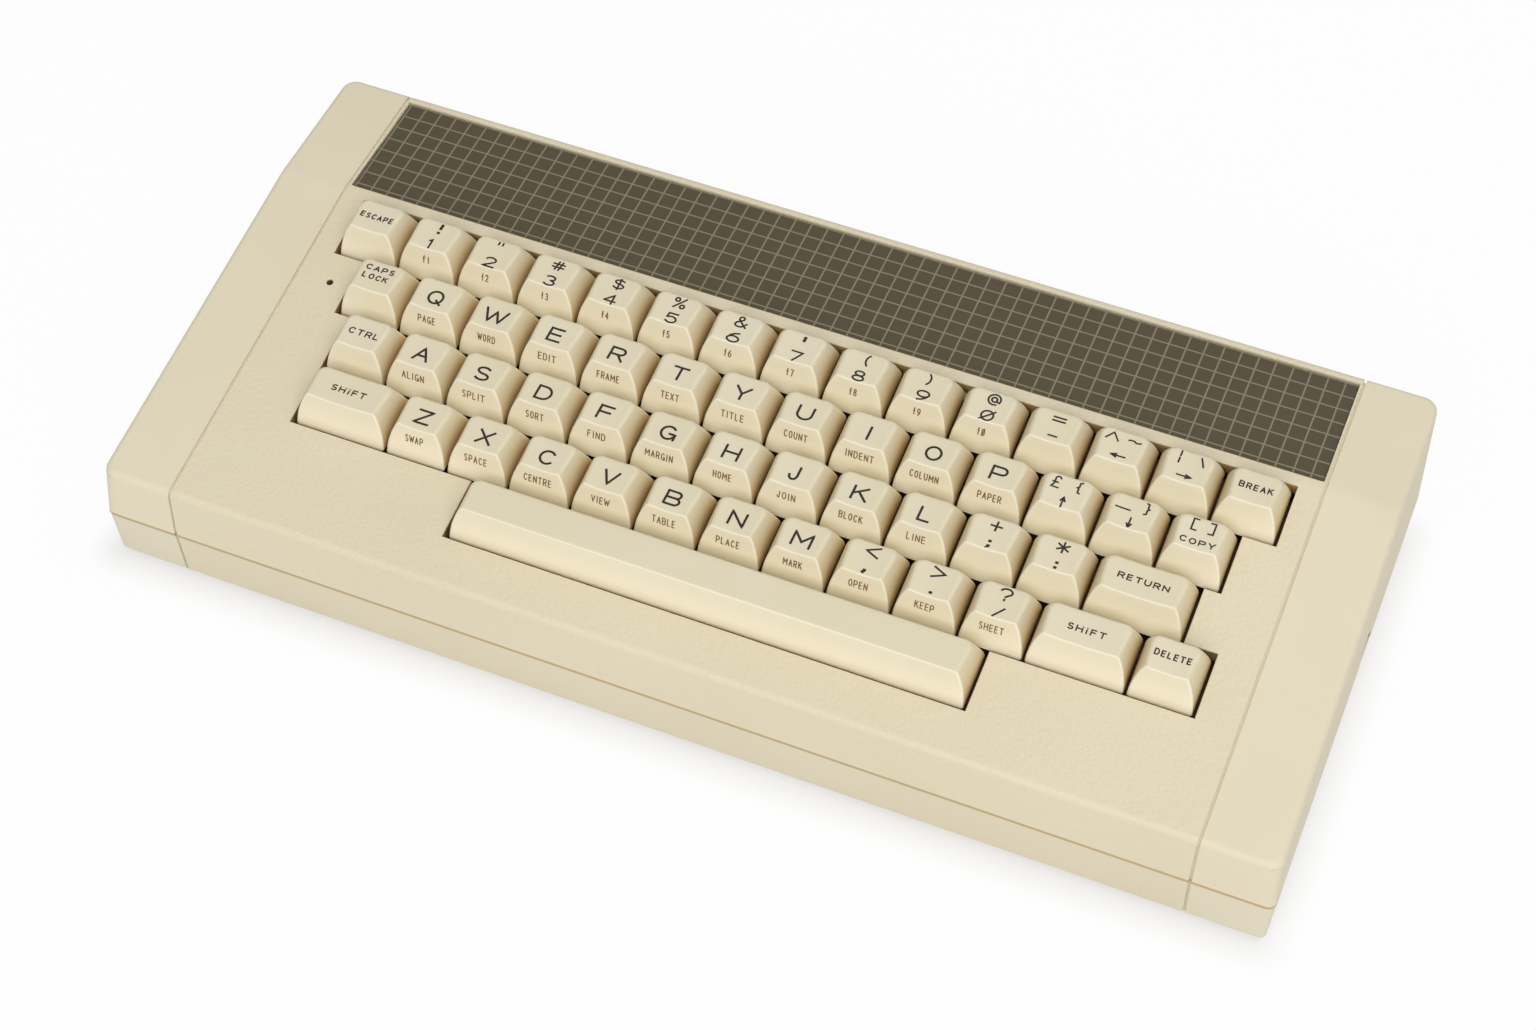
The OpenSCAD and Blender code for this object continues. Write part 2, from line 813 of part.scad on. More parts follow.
module cap_hollow(extra) {
  low = cap_w / 2 - cap_wall;
  high = cap_top_half - cap_wall;
  intersection() {
    side_slab(cap_w + 2 * extra + over)
      polygon(inset(cap_side, [-over, cap_wall, cap_wall + dish, cap_wall]));
    front_slab(cap_w)
      polygon([
        [-low - extra, skirt_z - over],
        [low + extra, skirt_z - over],
        [low + extra, skirt_z],
        [high + extra, cap_front_z],
        [-high - extra, cap_front_z],
        [-low - extra, skirt_z]
      ]);
  }
}

// The long shallow cylinder that hollows a cap's top
module cap_dish(extra) {
  half = cap_top_half + extra;
  r = (half * half + dish * dish) / (2 * dish);
  slope = atan2(cap_front_z - cap_rear_z, cap_w - cap_front_lean - cap_rear_lean);
  translate([0, 0, cap_top_mid])
    rotate([-slope, 0, 0])
      translate([0, 0, r - dish])
        rotate([90, 0, 0])
          cylinder(r = r, h = 3 * cap_w, center = true, $fn = 240);
}

module plunger() {
  top = cap_top_mid - dish - cap_wall / 2;
  collar_top = collar_roof - slide_gap;
  translate([0, 0, collar_top - collar_t]) {
    cylinder(r = collar_r, h = collar_t);
    cylinder(r = plunger_r, h = top - collar_top + collar_t);
  }
}

module guide_pin() {
  top = cap_top_mid - dish - cap_wall / 2;
  low = -plate_drop - 0.5;
  translate([0, 0, low]) cylinder(r = guide_r, h = top - low);
}

module key(row, col) {
  name = KEY_ROWS[row][col];
  extra = (key_units(name) - 1) * pitch / 2;
  color(cap_ivory)
    on_deck()
      translate([key_x(row, col), row_s(row), 0]) {
        difference() {
          cap_form(extra);
          if (name != "space") cap_dish(extra);
          cap_hollow(extra);
        }
        plunger();
        if (name == "space")
          for (side = [-1, 1])
            translate([side * guide_x, 0, 0]) guide_pin();
      }
}

// ---------- boards ----------

// A block with a round socket that opens towards -x
module socket_block(r, deep, holes) {
  translate([0, -socket_wide / 2, -(seam_z - board_z)])
    difference() {
      translate([0, 0, seat]) cube([socket_long, socket_wide, 2 * (seam_z - board_z) - seat]);
      translate([-over, socket_wide / 2, seam_z - board_z])
        rotate([0, 90, 0]) cylinder(r = r, h = deep + over);
      for (i = [0:holes - 1])
        rotate_about([0, socket_wide / 2, seam_z - board_z], -120 + i * 240 / max(holes - 1, 1))
          translate([deep - over, 0, r * 0.62])
            rotate([0, 90, 0]) cylinder(r = 0.7, h = 2.5 + over, $fn = 24);
    }
}

module rotate_about(p, turn) {
  translate(p) rotate([turn, 0, 0]) children();
}

// A sleeve that stands out of the tuner can towards -x
module coax_socket() {
  rotate([0, -90, 0])
    difference() {
      cylinder(r = coax_r, h = coax_long);
      translate([0, 0, 1]) cylinder(r = 1.6, h = coax_long);
    }
}

// A dual in-line chip, its notch at one end
module chip(long, wide) {
  difference() {
    translate([-long / 2, -wide / 2, 0]) cube([long, wide, 4]);
    translate([-long / 2, 0, 3]) cylinder(r = 1.3, h = 2);
  }
}

module main_plate() {
  translate([board_left, -board_d / 2, board_z - board_t])
    cube([board_w, board_d, board_t]);
  translate([-edge_w / 2, board_d / 2 - over, board_z - board_t])
    cube([edge_w, rear_y - wall - board_d / 2 + over, board_t]);
}

module edge_contacts() {
  contact_pitch = 2.54;
  count = floor((edge_w - 3) / contact_pitch);
  for (i = [0:count - 1])
    translate([(i - (count - 1) / 2) * contact_pitch - 0.8, rear_y - wall - 9, board_z])
      cube([1.6, 8.5, 0.1]);
}

module heat_sink() {
  for (i = [0:6])
    translate([power_x - 30 + i * 5, power_y + 20, board_z + 1.5]) cube([1.5, 12, 12]);
  translate([power_x - 30, power_y + 20, board_z]) cube([31.5, 12, 2]);
}

module main_board() {
  color(board_green) main_plate();
  color(brass) edge_contacts();
  color(board_green)
    translate([power_x - power_w / 2, power_y - power_d / 2, board_z - board_t])
      cube([power_w, power_d, board_t]);
  for (y = DIN_Y)
    color(black_plastic)
      translate([-socket_x, y, seam_z]) socket_block(din_r, din_deep, y == 0 ? 6 : 7);
  color(black_plastic)
    translate([socket_x, inlet_y, seam_z])
      mirror([1, 0, 0]) socket_block(inlet_r, inlet_deep, 1);
  can_x = -socket_x + 8;
  can_y = (COAX_Y[0] + COAX_Y[1]) / 2;
  color(steel)
    translate([can_x, can_y - can_d / 2, board_z + seat]) cube([can_w, can_d, can_h]);
  for (y = COAX_Y)
    color(brass) translate([can_x - seat, y, seam_z]) coax_socket();
  color(black_plastic)
    translate([0, 0, board_z + seat]) {
      translate([-60, 10, 0]) cube([34, 34, 5]);
      translate([-20, 25, 0]) rotate([0, 0, 90]) chip(52, 14);
      translate([5, 30, 0]) rotate([0, 0, 90]) chip(36, 14);
      for (i = [0:3]) translate([-90 + i * 16, -30, 0]) rotate([0, 0, 90]) chip(22, 7);
      for (i = [0:4]) translate([-10 + i * 14, -30, 0]) rotate([0, 0, 90]) chip(19, 7);
    }
  color(steel) translate([0, 0, seat]) heat_sink();
  color(black_plastic)
    for (x = [12, 26])
      translate([power_x + x, power_y + 5, board_z + seat]) cylinder(r = 5, h = 11);
}

// ---------- assembly ----------

upper_case();
lower_case();
keyboard_frame();
main_board();
for (row = [0:rows - 1], col = [0:len(KEY_ROWS[row]) - 1])
  key(row, col);
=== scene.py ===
# %% [markdown]
# # A home computer with a built-in keyboard
# This lesson dresses a finished construction model. The model arrives as a fixed frame: every
# node has its true place and size in metres, and every key has a body of its own that slides.
# Nothing of the frame is moved. We put better surfaces around it: rounded edges, moulded grain,
# keys with dished tops and printed legends. Each step says what the piece is on the real object,
# how it could be made in Blender, and why it is made this way. Lengths are written in millimetres
# and turned into metres with MM; three small functions do what every piece needs.

# %% Load the frame
import bpy
import bmesh
import json
import math
from functools import partialmethod
from mathutils import Matrix, Quaternion, Vector
from mathutils.bvhtree import BVHTree


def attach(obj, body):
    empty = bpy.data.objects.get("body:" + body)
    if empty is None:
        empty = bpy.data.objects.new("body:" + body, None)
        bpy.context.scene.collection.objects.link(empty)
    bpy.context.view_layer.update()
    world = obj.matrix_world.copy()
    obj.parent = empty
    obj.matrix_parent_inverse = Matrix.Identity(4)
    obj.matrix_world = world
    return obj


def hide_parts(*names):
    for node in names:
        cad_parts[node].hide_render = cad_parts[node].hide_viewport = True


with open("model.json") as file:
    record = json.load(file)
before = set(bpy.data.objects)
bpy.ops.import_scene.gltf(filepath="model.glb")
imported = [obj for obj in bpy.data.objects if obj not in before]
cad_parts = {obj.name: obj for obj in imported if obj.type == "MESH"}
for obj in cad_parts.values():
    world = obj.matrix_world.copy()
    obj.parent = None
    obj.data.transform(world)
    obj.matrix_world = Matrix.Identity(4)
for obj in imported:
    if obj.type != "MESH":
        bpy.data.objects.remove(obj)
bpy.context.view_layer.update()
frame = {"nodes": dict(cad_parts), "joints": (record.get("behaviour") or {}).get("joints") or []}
MM = 0.001
nodes = frame["nodes"]
key_names = sorted(name for name in nodes if name.startswith("key_"))


def add_object(name, data):
    thing = bpy.data.objects.new(name, data)
    bpy.context.scene.collection.objects.link(thing)
    return thing


def made_mesh(name, bm, *materials):
    """Turns a bmesh into a mesh with its materials."""
    mesh = bpy.data.meshes.new(name)
    bm.to_mesh(mesh)
    bm.free()
    for material in materials:
        mesh.materials.append(material)
    return mesh


def join_frame(piece, body, node_name=None):
    """Says which body carries a piece, and hides the node it stands for."""
    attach(piece, body)
    if node_name:
        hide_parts(node_name)


# %% [markdown]
# ## Where the keyboard lies
# All the keys slide square to the sloping deck, so a joint's axis gives the deck's slope. A key's
# highest point stands a known height above the deck, which gives the deck's level. With both, any
# place on the keyboard can be given in deck coordinates: x to the right, y up the slope, and z
# square to it. Reading these from the frame keeps the looks right when the model changes.

# %% Deck coordinates
down = Vector(next(j["axis"] for j in frame["joints"] if j["name"] == "key_g_press"))
deck_up = -down.normalized()
deck_back = Vector((0, deck_up.z, -deck_up.y))
to_deck = Matrix((Vector((1, 0, 0)), deck_back, deck_up))
CAP_FRONT_Z = 8.95
SKIRT_Z = -2.0


def deck_points(name):
    return [to_deck @ v.co / MM for v in nodes[name].data.vertices]


deck_level = max(p.z for p in deck_points("key_g")) - CAP_FRONT_Z
places = {}
for name in key_names:
    points = [p for p in deck_points(name) if p.z > deck_level + SKIRT_Z - 0.01]
    low_x, high_x = min(p.x for p in points), max(p.x for p in points)
    low_y, high_y = min(p.y for p in points), max(p.y for p in points)
    places[name] = ((low_x + high_x) / 2, (low_y + high_y) / 2, high_x - low_x)
slope = math.degrees(math.atan2(-deck_up.y, deck_up.z))
print("deck slope:", round(slope, 2), "degrees; level:", round(deck_level, 3))


def on_key(name):
    """Where a key's own coordinates start: its middle, on the deck, turned with the slope."""
    x, y, wide = places[name]
    from_deck = to_deck.transposed()
    return Matrix.Translation(from_deck @ (Vector((x, y, deck_level)) * MM)) @ from_deck.to_4x4()


# %% [markdown]
# ## Camera
# The camera looks down on the keyboard from the front, a little from the right. Only its place,
# aim, roll and lens are set; the render settings belong to whoever renders.

# %% Camera
CAMERA_AT = Vector((195.025, -519.056, 650.151)) * MM
CAMERA_AIM = Vector((4.9, -14.9, 30)) * MM
CAMERA_ROLL = math.radians(2.0061)
LENS, SENSOR, FAR = 67.842, 36, 20


def aim(thing, place, target, roll=0.0):
    """Puts a camera or a lamp at a place and turns it to its target."""
    look = (Vector(target) - Vector(place)).to_track_quat("-Z", "Y")
    thing.location = place
    thing.rotation_mode = "QUATERNION"
    thing.rotation_quaternion = look @ Quaternion((0, 0, 1), roll)


camera_data = bpy.data.cameras.new("camera")
camera_data.lens, camera_data.sensor_width, camera_data.clip_end = LENS, SENSOR, FAR
camera_data.sensor_fit = "HORIZONTAL"
camera = add_object("camera", camera_data)
aim(camera, CAMERA_AT, CAMERA_AIM, CAMERA_ROLL)
bpy.context.scene.camera = camera
print("camera distance:", round((CAMERA_AIM - CAMERA_AT).length, 3), "m")

# %% [markdown]
# ## Shader maths as expressions
# A material is a network of nodes. Wiring them one by one hides the idea, so a socket is wrapped
# in a small class: `a * b + 1` then adds the Math nodes by itself. Everything else comes from one
# method, `add`, which takes a node's type, its settings and the values of its sockets.

# %% Socket wrapper and finish
class Flow:
    """What comes out of one socket; + - * / on it add Math nodes."""

    def __init__(self, finish, socket):
        self.finish = finish
        self.socket = socket

    def math(self, operation, *others):
        values = dict(enumerate((self,) + others))
        return self.finish.add("ShaderNodeMath", {"operation": operation}, values)

    __add__ = partialmethod(math, "ADD")
    __sub__ = partialmethod(math, "SUBTRACT")
    __mul__ = partialmethod(math, "MULTIPLY")
    __truediv__ = partialmethod(math, "DIVIDE")
    over = partialmethod(math, "GREATER_THAN")
    under = partialmethod(math, "LESS_THAN")
    size = partialmethod(math, "ABSOLUTE")

    def __rsub__(self, other):
        return self * -1 + other

    def ramp(self, low, high):
        """0 at low, 1 at high, smooth between."""
        settings = {"interpolation_type": "SMOOTHSTEP"}
        return self.finish.add("ShaderNodeMapRange", settings, {"Value": self, 1: low, 2: high})


class Finish:
    """A material with one Principled shader, whose varying sockets are fed by Flow values."""

    def __init__(self, name, **constants):
        self.material = bpy.data.materials.new(name)
        self.material.use_nodes = True
        self.tree = self.material.node_tree
        self.shader = self.tree.nodes["Principled BSDF"]
        for socket, value in constants.items():
            self.shader.inputs[socket.replace("_", " ")].default_value = value

    def add(self, kind, settings=None, values=None, out=0):
        node = self.tree.nodes.new(kind)
        for setting, value in (settings or {}).items():
            setattr(node, setting, value)
        for socket, value in (values or {}).items():
            if isinstance(value, Flow):
                self.tree.links.new(value.socket, node.inputs[socket])
            else:
                node.inputs[socket].default_value = value
        return Flow(self, node.outputs[out])

    def place(self):
        """Object coordinates in millimetres."""
        point = self.add("ShaderNodeTexCoord", out="Object")
        return self.vector("SCALE", {0: point, "Scale": 1 / MM})

    def axes(self, vector):
        return [self.add("ShaderNodeSeparateXYZ", None, {0: vector}, axis) for axis in range(3)]

    def vector(self, operation, values):
        return self.add("ShaderNodeVectorMath", {"operation": operation}, values)

    def noise(self, point, size, detail=2.0, roughness=0.5):
        """Soft noise whose spots are about size millimetres wide, from 0 to 1."""
        values = {"Vector": point, "Scale": 1 / size, "Detail": detail, "Roughness": roughness}
        return self.add("ShaderNodeTexNoise", None, values)

    def cells(self, point, size):
        """Distance to the middle of cells about size millimetres wide."""
        values = {"Vector": point, "Scale": 1 / size}
        return self.add("ShaderNodeTexVoronoi", {"feature": "SMOOTH_F1"}, values, "Distance")

    def mix(self, amount, first, second):
        """A colour that goes from first to second."""
        values = {"Factor": amount, 6: first, 7: second}
        return self.add("ShaderNodeMix", {"data_type": "RGBA"}, values, 2)

    def bump(self, height, depth_mm):
        """Height from 0 to 1 raised by depth_mm."""
        values = {"Height": height, "Distance": depth_mm * MM, "Strength": 1.0}
        return self.add("ShaderNodeBump", None, values)

    def feed(self, **flows):
        for socket, flow in flows.items():
            self.tree.links.new(flow.socket, self.shader.inputs[socket.replace("_", " ")])
        return self.material


def rgb(red, green, blue):
    """A screen colour from 0 to 255 as the linear colour that a shader takes."""
    parts = [c / 255 for c in (red, green, blue)]
    return tuple(((c + 0.055) / 1.055) ** 2.4 if c > 0.04045 else c / 12.92 for c in parts) + (1.0,)


print("ivory in linear light:", [round(c, 3) for c in rgb(227, 217, 189)])

# %% [markdown]
# ## Ivory mouldings
# The case is one kind of plastic, moulded in a warm ivory that has yellowed a little and not quite
# evenly. Between the two grooves the mould was etched with a fine leather grain; outside them and
# on the lower shell it is only matt. The colour is a slow noise between two near ivories, and the
# grain is a Voronoi pattern that feeds a Bump node. A picture texture would also work, but a
# pattern in object coordinates has the same scale on every wall and needs no unwrapping. Two places
# get a painted shade, a browner colour where shade falls: the inside of the keyboard's opening,
# below the deck, and a thin band along the gap of the seam of the two shells.

# %% Ivory finishes
GRAIN_HALF = 150.3
MOUTH_HALF, MOUTH_FRONT, MOUTH_REAR, MOUTH_DEPTH = 149.0, -70.0, 33.0, 0.25
SEAM_Z = min(v.co.z for v in nodes["upper_case"].data.vertices) / MM
SEAM_SHADE_BAND = (0.35, 0.85)
GRAIN_CELL, GRAIN_BEND = 1.15, 0.8
MATT_DEPTH = 0.012


def ivory_finish(name, light, dark, gloss, grain_mm=0.0):
    finish = Finish(name, Specular_IOR_Level=0.42)
    point = finish.place()
    x, y, z = finish.axes(point)
    inside = x.size().under(GRAIN_HALF)
    cloud = finish.noise(point, 55.0, 3.0)
    specks = finish.noise(point, 0.9, 2.0)
    color = finish.mix((cloud - 0.35) * 1.9 + (specks - 0.5) * 0.22, light, dark)
    color = finish.mix(inside * 0.35, color, rgb(219, 205, 172))
    if grain_mm:
        # Painted shade: browner inside the keyboard's opening, below the deck.
        low = (y * deck_up.y + z * deck_up.z).under(deck_level - MOUTH_DEPTH)
        painted_mouth_shade = low * x.size().under(MOUTH_HALF) * y.over(MOUTH_FRONT) * y.under(MOUTH_REAR)
        color = finish.mix(painted_mouth_shade, color, rgb(186, 154, 104))
    # Painted shade: a browner band along the gap of the seam.
    painted_seam_shade = 1 - (z - SEAM_Z).size().ramp(*SEAM_SHADE_BAND)
    color = finish.mix(painted_seam_shade * 0.85, color, rgb(182, 152, 94))
    fine = finish.noise(point, 0.35, 3.0)
    height = fine * 0.25
    rough = fine * 0.1 + gloss
    if grain_mm:
        wave = {"Vector": point, "Scale": 0.9, "Detail": 1.0}
        bent = finish.add("ShaderNodeTexNoise", None, wave, "Color")
        moved = finish.vector("MULTIPLY_ADD", {0: bent, 1: (GRAIN_BEND,) * 3, 2: point})
        ridge = finish.cells(moved, GRAIN_CELL).ramp(0.1, 0.62) * inside
        height = ridge + fine * 0.22
        rough = rough - ridge * 0.05
    wear = finish.noise(point, 18.0, 4.0)
    normal = finish.bump(height, grain_mm or MATT_DEPTH)
    return finish.feed(Base_Color=color, Roughness=rough + (wear - 0.5) * 0.08, Normal=normal)


upper_ivory = ivory_finish("upper_ivory", rgb(225, 216, 190), rgb(221, 209, 180), 0.42, 0.075)
lower_ivory = ivory_finish("lower_ivory", rgb(224, 216, 193), rgb(219, 208, 183), 0.46)
print("ivory finishes:", upper_ivory.name, lower_ivory.name)

# %% [markdown]
# ## Key plastic and printed legends
# The caps are moulded in a slightly yellower ivory and polished by fingers where they are touched.
# Object coordinates of a cap start at its own middle, so the polish can be a soft round spot on
# the dished top. Object Info gives each cap a number of its own, which shifts its shade a little:
# no two caps age alike. The side walls get a painted shade, browner towards the skirt, where little
# light falls between the caps; the face towards the typist gets painted light, and the edge above
# it a painted highlight. Which way a face looks comes from the cap's own Normal coordinate. The
# legends are printed in dark ink, those on the front faces in brown.

# %% Key finishes
def key_finish():
    finish = Finish("key_ivory", Specular_IOR_Level=0.45)
    point = finish.place()
    x, y, z = finish.axes(point)
    own = finish.add("ShaderNodeObjectInfo", out="Random")
    cloud = finish.noise(point, 22.0, 3.0)
    specks = finish.noise(point, 0.7, 2.0)
    shade = (cloud - 0.4) * 0.9 + own * 0.45 + (specks - 0.5) * 0.2
    skin = finish.mix(shade, rgb(226, 217, 190), rgb(222, 210, 177))
    across, back, up = finish.axes(finish.add("ShaderNodeTexCoord", out="Normal"))
    sideways = across.size().ramp(0.55, 0.95)
    frontness = back * -1
    depth = 1 - z.ramp(SKIRT_Z, 8.5)
    # Painted shade: the side walls browner towards the skirt, where little light falls between the
    # caps.
    color = finish.mix(sideways * (depth * 0.85 + 0.1), skin, rgb(206, 178, 124))
    # Painted light: the face towards the typist paler, most towards its foot.
    painted_front_light = frontness.ramp(0.6, 0.9) * (depth * 0.7 + 0.3)
    color = finish.mix(painted_front_light, color, rgb(250, 240, 212))
    # Painted highlight on the rounded edge between the top and the front face.
    ridge = frontness.ramp(0.25, 0.45) * (1 - frontness.ramp(0.75, 0.9))
    color = finish.mix(ridge * 0.8, color, rgb(244, 236, 214))
    fine = finish.noise(point, 0.3, 3.0)
    away = (x * x + y * y).math("SQRT")
    touched = (1 - away.ramp(2.0, 6.5)) * z.ramp(6.6, 7.6)
    rough = fine * 0.1 + 0.34 - touched * 0.07
    return finish.feed(Base_Color=color, Roughness=rough, Normal=finish.bump(fine, 0.006))


def ink_finish(name, solid, thin):
    finish = Finish(name, Specular_IOR_Level=0.4)
    point = finish.place()
    cover = finish.noise(point, 0.5, 3.0, 0.6)
    color = finish.mix(cover.ramp(0.35, 0.85), solid, thin)
    return finish.feed(Base_Color=color, Roughness=cover * 0.15 + 0.38)


key_ivory = key_finish()
dark_ink = ink_finish("dark_ink", rgb(36, 31, 26), rgb(52, 45, 37))
brown_ink = ink_finish("brown_ink", rgb(126, 92, 52), rgb(140, 108, 68))
print("key finishes:", key_ivory.name, dark_ink.name, brown_ink.name)

# %% [markdown]
# ## Grid panel film
# The roof carries a dark film printed with a square grid. The lines could be cut as thin strips,
# but they have no thickness on the real film, so they are a pattern: the distance to the nearest
# line, compared with half its width.

# %% Grid panel finish
GRID_X, PITCH_X = 145.8, 5.08
GRID_Y, PITCH_Y = 35.2, 5.13
GRID_LINE = 0.48
FAR_LINES = 200


def panel_finish():
    finish = Finish("grid_film", Specular_IOR_Level=0.35)
    point = finish.place()
    x, y, z = finish.axes(point)

    def line(along, start, pitch):
        turns = (along - (start - FAR_LINES * pitch)) / pitch + 0.5
        return ((turns.math("FRACT") - 0.5).size() * pitch).under(GRID_LINE / 2)

    lines = line(x, GRID_X, PITCH_X).math("MAXIMUM", line(y, GRID_Y, PITCH_Y))
    cloud = finish.noise(point, 30.0, 4.0)
    specks = finish.noise(point, 0.5, 2.0)
    ground = finish.mix(cloud * 0.8 + specks * 0.4, rgb(86, 77, 57), rgb(78, 70, 51))
    printed = finish.mix(specks, rgb(138, 130, 106), rgb(126, 118, 95))
    color = finish.mix(lines, ground, printed)
    normal = finish.bump(lines * 0.6 + specks * 0.5, 0.012)
    return finish.feed(Base_Color=color, Roughness=specks * 0.12 + 0.44, Normal=normal)


grid_film = panel_finish()
print("grid pitch:", PITCH_X, "mm, lines", GRID_LINE, "mm wide")

# %% [markdown]
# ## Rubber, metal, boards and small parts
# The other pieces share a few plain trade finishes. One function mottles a base colour with two
# noises, which is enough for moulded black plastic, rubber and lacquered boards. Metals also vary
# their roughness along one direction, as rolled or turned stock does.

# %% Trade finishes
# Two colours, roughness, size of the specks and depth of the bump in millimetres; a metal has two
# more: 1 for metallic, and how its pattern is stretched.
TRADES = {
    "black_rubber": ((48, 47, 45), (34, 33, 32), 0.75, 0.6, 0.03),
    "black_plastic": ((52, 52, 54), (38, 38, 40), 0.42, 0.5, 0.01),
    "brown_steel": ((122, 99, 66), (104, 83, 54), 0.55, 0.5, 0.006),
    "brown_plastic": ((74, 56, 38), (58, 43, 29), 0.45, 0.5, 0.01),
    "zinc_steel": ((190, 190, 186), (160, 160, 156), 0.34, 0.4, 0.004, 1.0, (0.08, 1, 1)),
    "bright_brass": ((214, 184, 110), (188, 156, 88), 0.3, 0.3, 0.003, 1.0, (1, 1, 0.1)),
    "speaker_cone": ((70, 66, 60), (52, 49, 45), 0.8, 0.5, 0.04),
    "lamp_red": ((58, 22, 18), (42, 16, 14), 0.22, 0.8, 0.004),
}


def trade_finish(name, light, dark, rough, speck_mm, bump_mm, metallic=0.0, stretch=None):
    finish = Finish(name, Metallic=metallic)
    point = finish.place()
    if stretch:
        point = finish.vector("MULTIPLY", {0: point, 1: stretch})
    specks = finish.noise(point, speck_mm, 4.0, 0.6)
    cloud = finish.noise(point, speck_mm * 12, 3.0)
    color = finish.mix(specks * 0.6 + cloud * 0.5, rgb(*light), rgb(*dark))
    normal = finish.bump(specks, bump_mm)
    return finish.feed(Base_Color=color, Roughness=specks * 0.2 + (rough - 0.1), Normal=normal)


def board_finish():
    finish = Finish("green_board", Specular_IOR_Level=0.5)
    point = finish.place()
    bricks = {"Scale": 0.4, "Mortar Size": 0.12, "Brick Width": 5.2, "Row Height": 0.5}
    run = finish.add("ShaderNodeTexBrick", {"offset": 0.35}, {"Vector": point, **bricks}, "Fac")
    tracks = run * finish.noise(point, 9.0, 2.0).ramp(0.48, 0.52)
    cloud = finish.noise(point, 14.0, 3.0)
    lacquer = finish.mix(cloud, rgb(38, 84, 54), rgb(30, 70, 46))
    color = finish.mix(tracks, lacquer, rgb(58, 112, 70))
    normal = finish.bump(tracks, 0.03)
    return finish.feed(Base_Color=color, Roughness=cloud * 0.12 + 0.3, Normal=normal)


finishes = [trade_finish(name, *row) for name, row in TRADES.items()]
finishes += [board_finish(), grid_film, upper_ivory, lower_ivory]
finishes = {material.name: material for material in finishes}
print("finishes of the case:", len(finishes))

# %% [markdown]
# ## Dressing a solid: welded, merged and rounded
# A node of the frame holds several real pieces, and its mesh has sharp edges with its corners split
# between faces. Real mouldings have rounded edges that catch the light. One could model each shell
# again; it is surer to take the frame's own mesh, weld it, split it into its pieces, merge the flat
# faces, and let a Bevel modifier round the edges by a weight on each edge. A Weighted Normal
# modifier then lets the large flat faces keep their own direction, so that only the rounded strips
# turn the light. The sizes stay those of the construction model.

# %% Pieces of a node
MAX_ROUND = 2.0
ROUND_STEPS = 4
SHARP_TURN = math.radians(22)
FLAT_TURN = math.radians(0.6)
WELD = 1e-6


def loose_meshes(node_name):
    """The separate solids of a node, each as a welded bmesh, with its box in millimetres."""
    whole = bmesh.new()
    whole.from_mesh(nodes[node_name].data)
    bmesh.ops.remove_doubles(whole, verts=whole.verts, dist=WELD)
    seen = set()
    solids = []
    for seed in whole.faces:
        if seed in seen:
            continue
        seen.add(seed)
        shell = [seed]
        for face in shell:
            for near in (near for edge in face.edges for near in edge.link_faces):
                if near not in seen:
                    seen.add(near)
                    shell.append(near)
        solid = bmesh.new()
        made = {}
        for face in shell:
            for vert in face.verts:
                if vert not in made:
                    made[vert] = solid.verts.new(vert.co)
            solid.faces.new([made[vert] for vert in face.verts])
        solid.normal_update()
        low, high = (
            Vector([end(v.co[i] for v in solid.verts) / MM for i in range(3)]) for end in (min, max)
        )
        solids.append((solid, low, high))
    whole.free()
    return sorted(solids, key=lambda item: [round(c, 2) for c in item[1]])


def modify(piece, name, kind, **settings):
    modifier = piece.modifiers.new(name, kind)
    for setting, value in settings.items():
        setattr(modifier, setting, value)


def dressed(name, solid, material, rounding, reshape=None, merge=True):
    """Turns a welded bmesh into a piece of the case.

    rounding(edge, turn) gives an edge's radius in millimetres.
    """
    if merge:
        bmesh.ops.dissolve_limit(
            solid, angle_limit=FLAT_TURN, verts=solid.verts, edges=solid.edges, delimit={"NORMAL"}
        )
    if reshape:
        reshape(solid)
    solid.normal_update()
    weights = solid.edges.layers.float.new("bevel_weight_edge")
    for edge in solid.edges:
        turn = edge.calc_face_angle(0)
        radius = rounding(edge, turn)
        edge[weights] = min(radius / MAX_ROUND, 1.0)
        edge.smooth = turn < SHARP_TURN or radius > 0
    for face in solid.faces:
        face.smooth = True
    piece = add_object(name, made_mesh(name, solid, material))
    modify(
        piece, "rounding", "BEVEL", limit_method="WEIGHT", offset_type="OFFSET",
        width=MAX_ROUND * MM, segments=ROUND_STEPS,
        use_clamp_overlap=False, miter_outer="MITER_ARC",
    )
    modify(piece, "flat faces", "WEIGHTED_NORMAL", mode="FACE_AREA", weight=60, keep_sharp=True)
    return piece


def sharp_only(radius):
    return lambda edge, turn: radius if turn > SHARP_TURN else 0.0


def dress_node(node_name, describe):
    """Dresses a node's solids; describe(low, high) gives name, finish, slot and rounding; the slot
    is not used.

    The rounding is a radius for all sharp edges, or the arguments of `dressed` as a dictionary.
    A name that ends in _ gets a number.
    """
    counts = {}
    for solid, low, high in loose_meshes(node_name):
        name, finish_name, slot_name, rounding = describe(low, high)
        counts[name] = counts.get(name, 0) + 1
        if name.endswith("_"):
            name += str(counts[name])
        how = rounding if isinstance(rounding, dict) else {"rounding": sharp_only(rounding)}
        piece = dressed(name, solid, finishes[finish_name], **how)
        join_frame(piece, "case", node_name)
    print(node_name, counts)


def side_of(place, split_y):
    """The end and the side on which a piece lies, for its name."""
    return ("front" if place.y < split_y else "rear"), ("left" if place.x < 0 else "right")


# %% [markdown]
# ## Upper case
# The upper moulding is the deck, the roof and four drafted walls, with the two grooves cut across
# it. Its outer edges are rounded by two millimetres, the crease behind the keys a little less, and
# the edges of the keyboard's opening and of the panel's recess only slightly. Which edge is which
# is read from where it lies: on the deck's plane, on the roof's, or on an outer wall.

